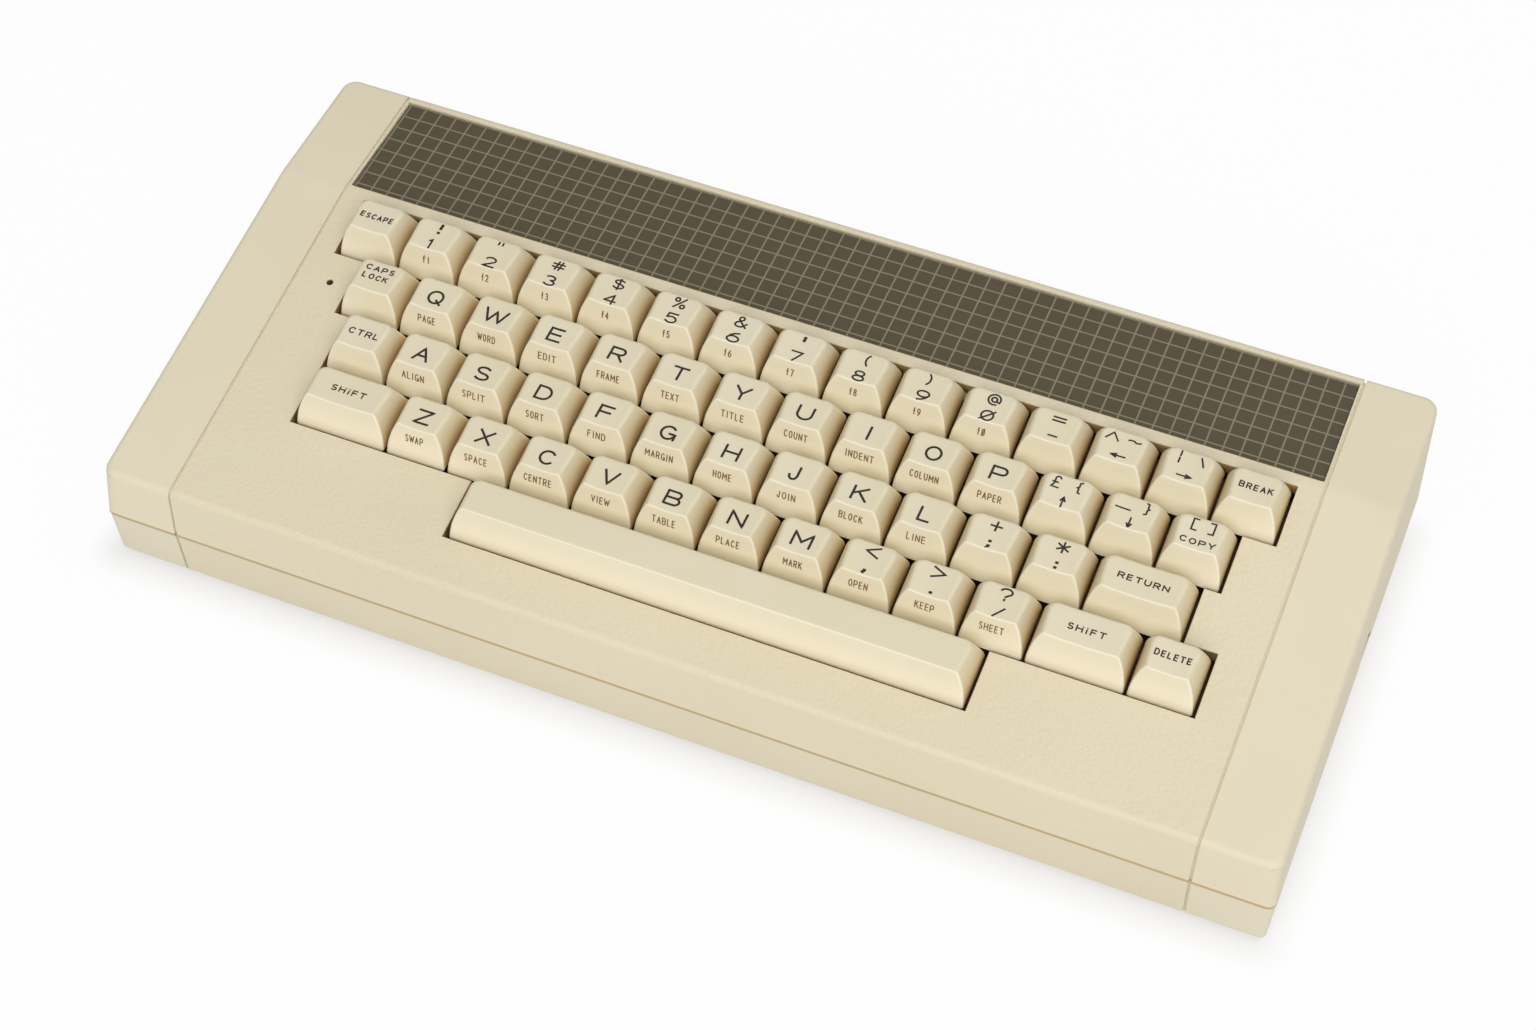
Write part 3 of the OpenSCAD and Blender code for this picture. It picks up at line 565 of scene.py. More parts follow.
# %% Where a face or an edge of the upper shell lies
ROOF_Y = 72
shell, shell_low, shell_high = max(
    loose_meshes("upper_case"), key=lambda item: item[2].x - item[1].x
)
roof_faces = [face for face in shell.faces if face.calc_center_median().y / MM > ROOF_Y]
roof_face = max(roof_faces, key=lambda face: face.normal.z)
roof_up = roof_face.normal.copy()
roof_level = roof_face.verts[0].co.dot(roof_up) / MM
# Distances in millimetres: what counts as on a plane, how deep an outer wall and a round corner
# reach into the shell, and how high the seam's own edges lie.
ON_PLANE, SIDE_ZONE, END_ZONE = 0.03, 1.3, 0.7
CORNER_ZONE, CORNER_REACH, SEAM_ZONE = 2.4, 5.5, 0.5
# Parts of a direction: looking up, square to a wall, as steep as a corner's edge, and next to none.
LEVEL, UPRIGHT, STEEP, TINY = 0.3, 0.98, 0.7, 0.02
REAR_DRAFT = 0.13
GROOVE, ACROSS_GROOVE = (150.2, 151.2), 0.6
CREASE_ROUND, OPENING_ROUND, RECESS_ROUND = 1.6, 0.35, 0.22


def above_deck(point):
    """Height of a point over the deck's plane, in millimetres."""
    return point.dot(deck_up) / MM - deck_level


def above_roof(point):
    return point.dot(roof_up) / MM - roof_level


def lies_on(height, points):
    return all(abs(height(point)) < ON_PLANE for point in points)


def faces_out(face):
    """True for the deck, the roof, the outer walls and their round corners."""
    centre, normal = face.calc_center_median() / MM, face.normal
    if abs(normal.z) > LEVEL:
        points = [v.co for v in face.verts]
        return lies_on(above_deck, points) or lies_on(above_roof, points)
    from_side = shell_high.x - abs(centre.x)
    from_front = centre.y - shell_low.y
    from_rear = shell_high.y - centre.y - (centre.z - shell_low.z) * REAR_DRAFT
    from_end = min(from_front, from_rear)
    if min(from_side, from_end) > CORNER_ZONE:
        return False
    along_x = normal.x * math.copysign(1, centre.x)
    along_y = normal.y * math.copysign(1, centre.y)
    if from_side < CORNER_ZONE and along_x > UPRIGHT and along_y > -TINY:
        return from_side < SIDE_ZONE
    if along_y > UPRIGHT and from_end < END_ZONE:
        return True
    return min(along_x, along_y) > TINY and max(from_side, from_end) < CORNER_REACH


def upper_rounding(edge, turn):
    if len(edge.link_faces) != 2:
        return 0.0
    ends = [v.co for v in edge.verts]
    a, b = ends
    outer = [faces_out(face) for face in edge.link_faces]
    if all(outer) and sum(abs(above_deck(c)) + abs(above_roof(c)) for c in ends) < 0.1:
        return CREASE_ROUND
    if turn < SHARP_TURN:
        return 0.0
    if all(outer):
        steep = abs(a.z - b.z) >= (a - b).length * STEEP
        return 0.0 if steep else MAX_ROUND
    if max(a.z, b.z) / MM < shell_low.z + SEAM_ZONE:
        return 0.0
    if GROOVE[0] < abs(a.x + b.x) / 2 / MM < GROOVE[1]:
        return MAX_ROUND if abs(a.x - b.x) / MM > ACROSS_GROOVE else 0.0
    if any(outer) and lies_on(above_deck, ends):
        return OPENING_ROUND
    return RECESS_ROUND if any(outer) and lies_on(above_roof, ends) else 0.0


print("upper shell:", [round(c, 2) for c in shell_low], [round(c, 2) for c in shell_high])

# %% [markdown]
# The side walls of the real moulding stand a little wider at the seam than plain draft would make
# them, and its front corners turn more tightly there. The corner arcs of the frame's mesh are found
# by their radius and drawn again with a smaller one; everything else moves out with the wall.

# %% Upper shell and panel
DRAFT = math.tan(math.radians(1))
CORNER, CORNER_SHARP = 4.6, 2.6
FLARE, FLARE_HIGH = 0.6, 17.8
ON_ARC = 0.12


def flare_sides(solid):
    """Lets the side walls stand wider at the seam, and the front corners turn more tightly."""
    for vert in solid.verts:
        x, y, z = vert.co / MM
        rise = max(z - SEAM_Z, 0.0)
        out = FLARE * max(1 - rise / FLARE_HIGH, 0.0)
        past_x = max(abs(x) - (shell_high.x - CORNER), 0.0)
        past_y = max(shell_low.y + CORNER - y, 0.0)
        radius = CORNER - DRAFT * rise
        if min(past_x, past_y) > TINY and abs(math.hypot(past_x, past_y) - radius) < ON_ARC:
            sharp = CORNER_SHARP + (radius - CORNER_SHARP) * min(rise / FLARE_HIGH, 1.0)
            wide = shell_high.x + out - DRAFT * rise - sharp + past_x * sharp / radius
            front = shell_low.y + DRAFT * rise + sharp - past_y * sharp / radius
            vert.co.x, vert.co.y = math.copysign(wide, x) * MM, front * MM
        else:
            vert.co.x += math.copysign(out * min(past_x / radius, 1.0), x) * MM


def describe_upper(low, high):
    if high.x - low.x > 300:
        shell = {"rounding": upper_rounding, "reshape": flare_sides}
        return "upper_shell", "upper_ivory", "case_upper", shell
    return "grid_panel", "grid_film", "grid_panel", 0.12


dress_node("upper_case", describe_upper)

# %% [markdown]
# ## Lower case
# The lower moulding closes the bottom: a tub with a chamfered underside, vents, screw wells and
# four rubber feet. Its node also holds the screws, the two threaded inserts and the loudspeaker.
# The pieces are told apart by their boxes. The construction model sets the tub in by a small step
# under the seam; on the real case the two shells meet flush, so its outer walls are moved out.

# %% Lower shell, feet, screws, inserts and loudspeaker
LOWER_LEAN = math.tan(math.radians(5.5))
LOWER_CORNER, FOOT_SHARP = 3.8, 0.8
LOWER_GROOVE = (150.1, 151.3)
FLUSH, FOOT_OUT = 0.7, 1.2
FOOT_ZONE, FOOT_ROUND = 2.0, 0.3


def lower_rounding(edge, turn):
    a, b = (v.co / MM for v in edge.verts)
    middle = (a + b) / 2
    if turn < SHARP_TURN or GROOVE[0] < abs(middle.x) < GROOVE[1]:
        return 0.0
    outside = max(abs(middle.x) - shell_high.x, abs(middle.y) - shell_high.y) > -4.5
    at_foot = max(a.z, b.z) < FOOT_ZONE and abs(a.z - b.z) < 0.1
    return FOOT_ROUND if outside and at_foot else 0.0


def bring_flush(solid):
    """Moves the lower shell's outer walls out to the upper one's, so that they meet flush."""
    high_x, high_y = (max(v.co[i] for v in solid.verts) / MM for i in range(2))
    for vert in solid.verts:
        x, y, z = vert.co / MM
        drop = SEAM_Z - z
        if drop < -0.01:
            continue
        lean = LOWER_LEAN * drop
        corner = LOWER_CORNER - lean
        past_x = max(abs(x) - (high_x - lean - corner), 0.0)
        past_y = max(abs(y) - (high_y - lean - corner), 0.0)
        past = math.hypot(past_x, past_y)
        set_in = z < 1.8 or LOWER_GROOVE[0] < abs(x) < LOWER_GROOVE[1]
        if corner - past > (0.9 if set_in else ON_ARC):
            continue
        share = drop / SEAM_Z
        out_x = FLUSH + FLARE + FOOT_OUT * share
        out_y = FLUSH * (1 - share)
        if min(past_x, past_y) > TINY and y < 0:
            sharp = CORNER_SHARP - FOOT_SHARP * share
            reach = sharp - (corner - past)
            wide = high_x - lean + out_x - sharp + reach * past_x / past
            deep = high_y - lean + out_y - sharp + reach * past_y / past
            vert.co.x, vert.co.y = math.copysign(wide, x) * MM, -deep * MM
        else:
            vert.co.x += math.copysign(out_x * past_x / past, x) * MM
            vert.co.y += math.copysign(out_y * past_y / past, y) * MM


def describe_lower(low, high):
    wide = high.x - low.x
    end, side = side_of(low, 0)
    if wide > 300:
        shell = {"rounding": lower_rounding, "reshape": bring_flush}
        return "lower_shell", "lower_ivory", "case_lower", shell
    if low.z < 0.5:
        return f"foot_{end}_{side}", "black_rubber", "rubber", 0.4
    if 40 < wide < 60:
        return "loudspeaker", "speaker_cone", "rubber", 0.3
    if high.z - low.z > 15:
        return f"case_screw_{end}_{side}", "zinc_steel", "keyboard", 0.12
    return f"insert_{side}", "bright_brass", "keyboard", 0.1


dress_node("lower_case", describe_lower)

# %% [markdown]
# ## Keyboard frame
# Under the deck hangs a punched steel plate with a switch in each of its square holes, two guides
# for the space bar and the keyboard's own board. Little of it shows between the caps, but it is
# what one sees when a key is pressed, so it gets its finishes too. The punched pieces keep their
# many small flat faces: merged into one face with a hole, they could close over the bore.

# %% Steel plate, switches and board
def describe_switchgear(low, high):
    wide = high.x - low.x
    punched = {"rounding": sharp_only(0.0), "merge": False}
    if wide > 250 and low.z < 26:
        return "keyboard_board", "green_board", "board", 0.1
    if wide > 250:
        return "keyboard_plate", "brown_steel", "keyboard", punched
    if 13 < wide < 17:
        return "switch_", "brown_plastic", "keyboard", punched
    if 6.5 < wide < 7.5:
        return "guide_", "brown_plastic", "keyboard", punched
    if wide < 4:
        return "lock_lamp", "lamp_red", "lamp", 0.1
    return "plate_screw_", "brown_steel", "keyboard", 0.1


dress_node("keyboard_frame", describe_switchgear)

# %% [markdown]
# ## Main board
# Inside the lower shell lie the main board and the power board. Only the sockets in the side walls
# and the edge with its contacts in the rear slot are seen from outside. The node's solids are
# named from their place: sockets at the walls, the tuner's can, chips on the board.

# %% Boards, sockets and chips
AT_WALL = 150
BOARD_ROUND = 0.12


def describe_board(low, high):
    size, middle = high - low, (low + high) / 2
    if size.x > 200:
        return "main_board", "green_board", "board", BOARD_ROUND
    if size.x > 60 and size.z < 2.5:
        return "power_board", "green_board", "board", BOARD_ROUND
    if middle.x < -AT_WALL and size.z > 14:
        name = "signal_socket_" + side_of(middle, -10)[0]
        return name, "black_plastic", "keyboard", BOARD_ROUND
    if middle.x > AT_WALL and size.z > 14:
        return "power_inlet", "black_plastic", "keyboard", BOARD_ROUND
    if middle.x < -AT_WALL and size.z < 9:
        name = "coaxial_socket_" + side_of(middle, 35)[0]
        return name, "bright_brass", "keyboard", BOARD_ROUND
    if size.z > 14:
        return "tuner_can", "zinc_steel", "keyboard", BOARD_ROUND
    if size.z > 9 and size.x > 15:
        return "heat_sink", "zinc_steel", "keyboard", BOARD_ROUND
    return "capacitor_" if size.z > 9 else "chip_", "black_plastic", "rubber", BOARD_ROUND


dress_node("main_board", describe_board)

# %% [markdown]
# ## The key caps' form
# A cap is a hollow moulding. Its front leans back, its rear and its sides lean in, the sides in a
# slight arch, and its top is a shallow trough that guides the finger. It could be carved with
# modifiers, but a lofted mesh is cleaner: rings of the same number of points climb from the skirt
# to the top, turn over a rounded edge, and close in on the middle. The same function gives the
# height of the top, so that the legends can lie on it later.

# %% Cap sizes and surface
CAP = places["key_g"][2]
TOP_HALF = 5.75
FRONT_LEAN, REAR_LEAN = CAP / 2 - 4.5, CAP / 2 - 6.4
CAP_REAR_Z = 7.4
RISE = CAP_FRONT_Z - SKIRT_Z
DISH = 0.4
CAP_WALL = 1.3
TOP_SLOPE = (CAP_REAR_Z - CAP_FRONT_Z) / (CAP - FRONT_LEAN - REAR_LEAN)
# The arch of the side walls: a circle that stands BULGE out from the chord.
BULGE = 0.8
CHORD = math.hypot(CAP / 2 - TOP_HALF, RISE)
ARCH_R = CHORD ** 2 / (8 * BULGE) + BULGE / 2
ARCH_X = (CAP / 2 + TOP_HALF) / 2 - (ARCH_R - BULGE) / CHORD * RISE
ARCH_Z = (SKIRT_Z + CAP_FRONT_Z) / 2 - (ARCH_R - BULGE) / CHORD * (CAP / 2 - TOP_HALF)
CORNER_STEPS, SIDE_STEPS, LONG_STEP = 5, 7, 2.4


def top_height(x, y, extra, dish):
    """Height of a cap's top over the deck, at x and y from the cap's middle."""
    plane = CAP_FRONT_Z + (y + CAP / 2 - FRONT_LEAN) * TOP_SLOPE
    return plane - dish * max(0.0, 1 - (x / (TOP_HALF + extra)) ** 2)


def ring_at(z, extra, inward):
    """Half width, front and rear of a cap at one height, moved inward by a wall."""
    half = ARCH_X + math.sqrt(ARCH_R ** 2 - (z - ARCH_Z) ** 2) + extra - inward
    front = -CAP / 2 + FRONT_LEAN * (z - SKIRT_Z) / RISE + inward
    rear = CAP / 2 - REAR_LEAN * (z - SKIRT_Z) / (CAP_REAR_Z - SKIRT_Z) - inward
    return half, front, rear


def outline(extra):
    """Steps round a cap: kind, corner sign x, corner sign y, and an angle or a share of a side.

    A side's steps have the signs of the corner before it: equal ones at the rear and the front.
    """
    steps = []
    across = max(6, int((CAP + 2 * extra) / LONG_STEP))
    for corner, (sx, sy) in enumerate(((1, -1), (1, 1), (-1, 1), (-1, -1))):
        start = -90 + 90 * corner
        for i in range(CORNER_STEPS + 1):
            steps.append(("corner", sx, sy, math.radians(start + 90 * i / CORNER_STEPS)))
        count = SIDE_STEPS if corner % 2 == 0 else across
        steps += [("side", sx, sy, i / count) for i in range(1, count)]
    return steps


def ring_point(step, half, front, rear, radii):
    kind, sx, sy, value = step
    edge_y = {-1: front + radii[-1], 1: rear - radii[1]}
    if kind == "corner":
        r = radii[sy]
        return Vector((sx * (half - r) + r * math.cos(value), edge_y[sy] + r * math.sin(value)))
    if sx == 1 and sy == -1:
        return Vector((half, edge_y[-1] + (edge_y[1] - edge_y[-1]) * value))
    if sx == 1:
        return Vector(((half - radii[1]) * (1 - 2 * value), rear))
    if sy == 1:
        return Vector((-half, edge_y[1] + (edge_y[-1] - edge_y[1]) * value))
    return Vector(((half - radii[-1]) * (2 * value - 1), front))


print("top slope:", round(math.degrees(math.atan(TOP_SLOPE)), 2), "degrees")

# %% [markdown]
# ## Lofting a cap
# Every outline step is followed up the wall. Near the top the wall turns into the top surface
# along a small curve (a quadratic Bezier), wider at the sides and the rear than at the front. Then
# the rings shrink towards the middle line. Inside, a second wall and a ceiling leave the cap
# hollow, and the plunger with its collar hangs from the ceiling.

# %% Rings of a cap
CORNERS = {-1: (0.8, 0.6), 1: (1.3, 2.5)}
EDGE_SIDE, EDGE_REAR, EDGE_FRONT = 0.8, 0.9, 0.45
INNER_ROUND, LEAST_ROUND = 0.6, 0.3
LINE_REACH = 0.4
INNER_SHARES = (0.84, 0.55, 0.25, 0.0)
WALL_SHARES = (0.0, 0.03, 0.2, 0.4, 0.6, 0.78, 0.9)
TURN_SHARES = (0.0, 0.18, 0.38, 0.62, 0.82, 1.0)
TOP_SHARES = (0.85, 0.68, 0.5, 0.34, 0.18, 0.06)


def wall_point(step, share, extra, dish, inward=0.0):
    """A point of the wall at a share of the way up to the top surface."""
    z = SKIRT_Z + share * RISE
    radii = {
        end: max(low + (high - low) * share - inward * INNER_ROUND, LEAST_ROUND)
        for end, (low, high) in CORNERS.items()
    }
    for _ in range(4):
        x, y = ring_point(step, *ring_at(z, extra, inward), radii)
        z = SKIRT_Z + share * (top_height(x, y, extra, dish) - SKIRT_Z)
    return Vector((x, y, z))


def edge_size(step):
    """How far the rounding reaches from the top's edge."""
    kind, sx, sy, value = step
    far = EDGE_FRONT if sy < 0 else EDGE_REAR
    if kind == "corner":
        share = abs(math.sin(value))
        return EDGE_SIDE * (1 - share) + far * share
    return far if sx == sy else EDGE_SIDE


def middle_line(point, extra):
    """The nearest point on the line in which a cap's rings close."""
    reach = extra + LINE_REACH
    x = point.x * reach / (TOP_HALF + extra)
    return Vector((max(-reach, min(reach, x)), (FRONT_LEAN - REAR_LEAN) / 2))


def inward_way(step, corner, extra):
    """Which way the top surface lies from its edge."""
    kind, sx, sy, value = step
    if kind == "side":
        return Vector((0, -sy)) if sx == sy else Vector((-sx, 0))
    return (middle_line(corner, extra) - corner.xy).normalized()


def cap_rings(extra, dish):
    """Rings from the ceiling down the inner wall, up the outer one and over the top."""
    steps = outline(extra)

    def walls(share, inward=0.0):
        return [wall_point(step, share, extra, dish, inward) for step in steps]

    rings = [walls(share, CAP_WALL) for share in INNER_SHARES]
    rings += [walls(share) for share in WALL_SHARES]
    corners = walls(1.0)
    starts, ends = [], []
    for step, corner, low in zip(steps, corners, walls(WALL_SHARES[-1])):
        reach = edge_size(step)
        x, y = corner.xy + inward_way(step, corner, extra) * reach
        starts.append(corner + (low - corner).normalized() * reach)
        ends.append(Vector((x, y, top_height(x, y, extra, dish))))
    for t in TURN_SHARES:
        rings.append([
            a * (1 - t) ** 2 + c * (2 * t * (1 - t)) + b * t ** 2
            for a, c, b in zip(starts, corners, ends)
        ])
    for shrink in TOP_SHARES:
        ring = []
        for end in ends:
            centre = middle_line(end, extra)
            x = centre.x + (end.x - centre.x) * shrink
            y = centre.y + (end.y - centre.y) * shrink
            ring.append(Vector((x, y, top_height(x, y, extra, dish))))
        rings.append(ring)
    return rings


print("rings in a cap:", len(cap_rings(0.0, DISH)))

# %% [markdown]
# Every ring is joined to the next with quads, and the first and the last are closed. The stem and
# the space bar's pins are tubes of the same kind. They end inside the ceiling, so that no gap can
# open there.

# %% Cap meshes
STEM = ((-4.25, 2.5), (-4.2, 3.7), (-5.6, 3.7), (-5.7, 3.6))
PIN = ((-8.7, 2.0), (-9.0, 1.7))
PINS_AT = (-57.0, 57.0)
INTO_CEILING = 0.5
TUBE_TURN = 15
CAP_SHARP = math.radians(38)


def join_rings(bm, rings):
    """Quads from ring to ring of vertices, upwards, and a face on each end."""
    count = len(rings[0])
    for low, high in zip(rings, rings[1:]):
        for i in range(count):
            after = (i + 1) % count
            bm.faces.new((low[i], low[after], high[after], high[i]))
    bm.faces.new(rings[-1])
    bm.faces.new(rings[0][::-1])


def tube_rings(bm, x, top, levels):
    """A round stem from a height down; levels are pairs of height and radius."""
    angles = [math.radians(turn) for turn in range(0, 360, TUBE_TURN)]
    join_rings(bm, [
        [bm.verts.new(Vector((x + r * math.cos(a), r * math.sin(a), z)) * MM) for a in angles]
        for z, r in reversed(((top, levels[0][1]),) + levels)
    ])


def cap_mesh(name, extra, dish, pins):
    bm = bmesh.new()
    rings = [[bm.verts.new(p * MM) for p in ring] for ring in cap_rings(extra, dish)]
    join_rings(bm, rings)
    top = min(v.co.z for v in rings[0]) / MM + INTO_CEILING
    tube_rings(bm, 0, top, STEM)
    for x in pins:
        tube_rings(bm, x, top, PIN)
    bmesh.ops.recalc_face_normals(bm, faces=bm.faces)
    for face in bm.faces:
        face.smooth = True
    for edge in bm.edges:
        edge.smooth = edge.calc_face_angle(0) < CAP_SHARP
    return made_mesh(name, bm, key_ivory)


caps = {}
for name in key_names:
    extra = (places[name][2] - CAP) / 2
    dish, pins = (0.0, PINS_AT) if name == "key_space" else (DISH, ())
    cap = add_object("cap_" + name[4:], cap_mesh("cap_" + name[4:], extra, dish, pins))
    cap.matrix_world = on_key(name)
    join_frame(cap, name + "_body", name)
    caps[name] = cap
print("caps:", len(caps), "faces in one:", len(caps["key_g"].data.polygons))

# %% [markdown]
# ## A stroke font
# The legends are plain round-ended engraving letters. A font file would bring its own licence and
# its own shapes, so the letters are written here as strokes in a box one wide and one high. Each
# line names a sign and gives its strokes. Two numbers are a point; six are an arc: centre, radii,
# first and last angle. A slash starts the next stroke.

# %% Glyphs
GLYPHS = dict(line.split(" ", 1) for line in r"""
A 0,0 .5,1 1,0 / .19,.36 .81,.36
B 0,0 0,1 .62,1 .66,.76,.28,.24,90,-90 0,.52 / .64,.52 .68,.26,.32,.26,90,-90 0,0
C .52,.5,.5,.5,42,318
D 0,0 0,1 .45,1 .48,.5,.52,.5,90,-90 0,0
E .9,0 0,0 0,1 .9,1 / 0,.52 .8,.52
F 0,0 0,1 .9,1 / 0,.52 .78,.52
G .5,.5,.5,.5,45,360 1,.44 .58,.44 / 1,.44 1,0
H 0,0 0,1 / 1,0 1,1 / 0,.52 1,.52
I .5,0 .5,1
J .78,1 .78,.32 .42,.32,.36,.32,0,-180
K 0,0 0,1 / .92,1 0,.42 / .34,.64 1,0
L 0,1 0,0 .86,0
M 0,0 0,1 .5,.34 1,1 1,0
N 0,0 0,1 1,0 1,1
O .5,.5,.5,.5,90,450
P 0,0 0,1 .62,1 .64,.72,.34,.28,90,-90 0,.44
Q .5,.5,.5,.5,90,450 / .62,.28 1,-.04
R 0,0 0,1 .62,1 .64,.74,.32,.26,90,-90 0,.48 / .52,.48 .96,0
S .5,.75,.42,.25,35,270 .5,.25,.46,.25,90,-145
T 0,1 1,1 / .5,1 .5,0
U 0,1 0,.4 .5,.4,.5,.4,180,360 1,1
V 0,1 .5,0 1,1
W -.08,1 .22,0 .5,.86 .78,0 1.08,1
X 0,1 1,0 / 0,0 1,1
Y 0,1 .5,.46 1,1 / .5,.46 .5,0
Z 0,1 1,1 0,0 1,0
0 .5,.5,.5,.5,90,450 / -.04,-.04 1.04,1.04
1 .2,.8 .55,1 .55,0
2 .5,.72,.44,.28,165,-35 0,0 1,0
3 .48,.76,.4,.24,150,-90 .5,.26,.46,.26,90,-150
4 .72,0 .72,1 0,.3 1,.3
5 .92,1 .14,1 .08,.56 .48,.33,.46,.33,130,-150
6 .86,1 .52,.92 .2,.7 .02,.38 / .5,.32,.5,.32,90,450
7 0,1 .96,1 .34,0
8 .5,.76,.38,.24,-90,270 / .5,.26,.46,.26,90,450
9 .14,0 .48,.08 .8,.3 .98,.62 / .5,.68,.5,.32,90,450
f .72,.96 .5,1 .36,.84 .36,0 / .1,.62 .7,.62
! .5,1 .5,.5 / .5,.08 .5,0
" .28,1 .28,.66 / .72,1 .72,.66
# .3,.08 .42,.92 / .62,.08 .74,.92 / 0,.66 1,.66 / 0,.34 1,.34
$ .5,.74,.4,.2,30,270 .5,.32,.44,.22,90,-150 / .5,1.06 .5,-.04
% .2,.8,.18,.18,90,450 / .8,.2,.18,.18,90,450 / .9,1 .1,0
& 1,0 .26,.68 .44,.82,.2,.18,200,-30 .1,.36 .42,.2,.36,.2,150,320 1,.42
' .5,1 .5,.5
( .95,.5,.5,.62,125,235
) .05,.5,.5,.62,55,-55
@ .5,.5,.22,.22,0,360 .72,.36 .86,.3 .5,.5,.5,.5,-25,300
- .1,.5 .9,.5
= .05,.66 .95,.66 / .05,.34 .95,.34
+ .5,.9 .5,.1 / .1,.5 .9,.5
* .5,.95 .5,.05 / .1,.74 .9,.26 / .1,.26 .9,.74
; .5,.82 .5,.76 / .5,.24 .5,.16 .38,-.06
: .5,.78 .5,.72 / .5,.18 .5,.12
, .5,.4 .5,.3 .38,.1
. .5,.3 .5,.24
< .96,.94 .04,.5 .96,.06
> .04,.94 .96,.5 .04,.06
/ .1,0 .9,1
\ .1,1 .9,0
? .48,.72,.4,.28,170,-60 .5,.3 / .5,.1 .5,0
[ .8,1 .3,1 .3,0 .8,0
] .2,1 .7,1 .7,0 .2,0
{ .85,1 .55,.94 .55,.58 .3,.5 .55,.42 .55,.06 .85,0
} .15,1 .45,.94 .45,.58 .7,.5 .45,.42 .45,.06 .15,0
^ .1,.2 .5,.9 .9,.2
~ .3,.5,.22,.16,170,0 .72,.5,.2,.16,180,350
_ 0,.1 1,.1
| .5,1 .5,.58 / .5,.42 .5,0
L- .95,0 .05,0 .3,.3 .3,.7 .6,.78,.32,.22,180,20 / .05,.46 .7,.46
left 1,.5 .1,.5 / .42,.86 .04,.5 .42,.14
right 0,.5 .9,.5 / .58,.86 .96,.5 .58,.14
up .5,0 .5,.9 / .12,.58 .5,.98 .88,.58
down .5,1 .5,.1 / .12,.42 .5,.02 .88,.42
""".strip().splitlines())
ARC_STEP = 20.0
NEAREST = 0.01


def strokes_of(glyph):
    """The polylines of a glyph, in its unit box."""
    lines = []
    for stroke in GLYPHS[glyph].split("/"):
        points = []
        for token in stroke.split():
            x, y, *arc = [float(part) for part in token.split(",")]
            if not arc:
                points.append(Vector((x, y)))
                continue
            wide, high, first, last = arc
            turns = max(2, int(abs(last - first) / ARC_STEP))
            for i in range(turns + 1):
                a = math.radians(first + (last - first) * i / turns)
                points.append(Vector((x + wide * math.cos(a), y + high * math.sin(a))))
        clean = [points[0]]
        for point in points[1:]:
            if (point - clean[-1]).length > NEAREST:
                clean.append(point)
        lines.append(clean)
    return lines


print("glyphs:", len(GLYPHS))

# %% [markdown]
# ## From strokes to printed legends
# A stroke becomes a thin band of ink. The band is cut into short steps, so that it follows the
# dished top, and it gets an upper and a lower side a few hundredths of a millimetre apart, as a
# real film of ink has. One mesh per key holds all its signs; the small words on the front face
# have a second, brown ink.

# %% Ink bands
INK_TOP, INK_LOW = 0.05, -0.08
STEP = 0.6
DARK, BROWN = 0, 1
END_REACH = 0.35
CLOSING, TURN_BACK, MITRE_LIMIT = 0.3, 0.3, 0.6


def cut_line(line, closed):
    """The line in short steps; a closed one doesn't repeat its first point."""
    fine = []
    for a, b in zip(line, line[1:] + line[:1] if closed else line[1:]):
        cuts = max(1, int((b - a).length / STEP + 0.5))
        fine += [a.lerp(b, j / cuts) for j in range(cuts)]
    return fine if closed else fine + line[-1:]


def band_edges(fine, closed, width):
    """The two edge points of a band beside every point of its line."""
    last = len(fine) - 1
    for i, point in enumerate(fine):
        way_in = (point - fine[i - 1]).normalized() if closed or i else None
        way_out = (fine[(i + 1) % len(fine)] - point).normalized() if closed or i < last else way_in
        way_in = way_in or way_out
        both = way_in + way_out
        square = Vector((-way_in.y, way_in.x))
        side = Vector((-both.y, both.x))
        side = (square if side.length < TURN_BACK else side).normalized()
        offset = side * (width / 2 / max(MITRE_LIMIT, side.dot(square)))
        if not closed and i in (0, last):
            point = point + way_in * (width * END_REACH * (1 if i else -1))
        yield point + offset, point - offset


def band(bm, line, width, lift, ink):
    """Adds one stroke; lift(x, y, height) places a flat point on the cap."""
    closed = len(line) > 4 and (line[0] - line[-1]).length < width * CLOSING
    fine = cut_line(line[:-1] if closed else line, closed)
    rails = [
        [bm.verts.new(lift(c.x, c.y, h) * MM) for h in (INK_TOP, INK_LOW) for c in edges]
        for edges in band_edges(fine, closed, width)
    ]
    quads = []
    for a, b in zip(rails, rails[1:] + rails[:1] if closed else rails[1:]):
        quads += [
            (a[0], a[1], b[1], b[0]), (a[2], b[2], b[3], a[3]),
            (a[0], b[0], b[2], a[2]), (a[1], a[3], b[3], b[1]),
        ]
    if not closed:
        (a, b, c, d), (e, f, g, h) = rails[0], rails[-1]
        quads += [(a, c, d, b), (f, h, g, e)]
    for quad in quads:
        bm.faces.new(quad).material_index = ink


def write(bm, glyph, box, width, lift, ink=DARK):
    """Writes one glyph into a box (left, low, right, high) in millimetres."""
    left, low, right, high = box
    across, up = right - left - width, high - low - width
    for line in strokes_of(glyph):
        placed = [
            Vector((left + width / 2 + p.x * across, low + width / 2 + p.y * up)) for p in line
        ]
        band(bm, placed, width, lift, ink)


LETTER_GAP = 0.28
LETTER_SHARES = {
    letter: share
    for share, letters in ((0.45, "I1"), (0.9, "EFLSfJ"), (1.25, "MW")) for letter in letters
}


def write_word(bm, word, box, width, lift, ink=DARK):
    """Spreads a word over a box, narrow letters taking less room."""
    left, low, right, high = box
    shares = [LETTER_SHARES.get(letter, 1.0) for letter in word]
    unit = (right - left) / (sum(shares) + LETTER_GAP * (len(word) - 1))
    for letter, share in zip(word, shares):
        write(bm, letter, (left, low, left + unit * share, high), width, lift, ink)
        left += unit * (share + LETTER_GAP)


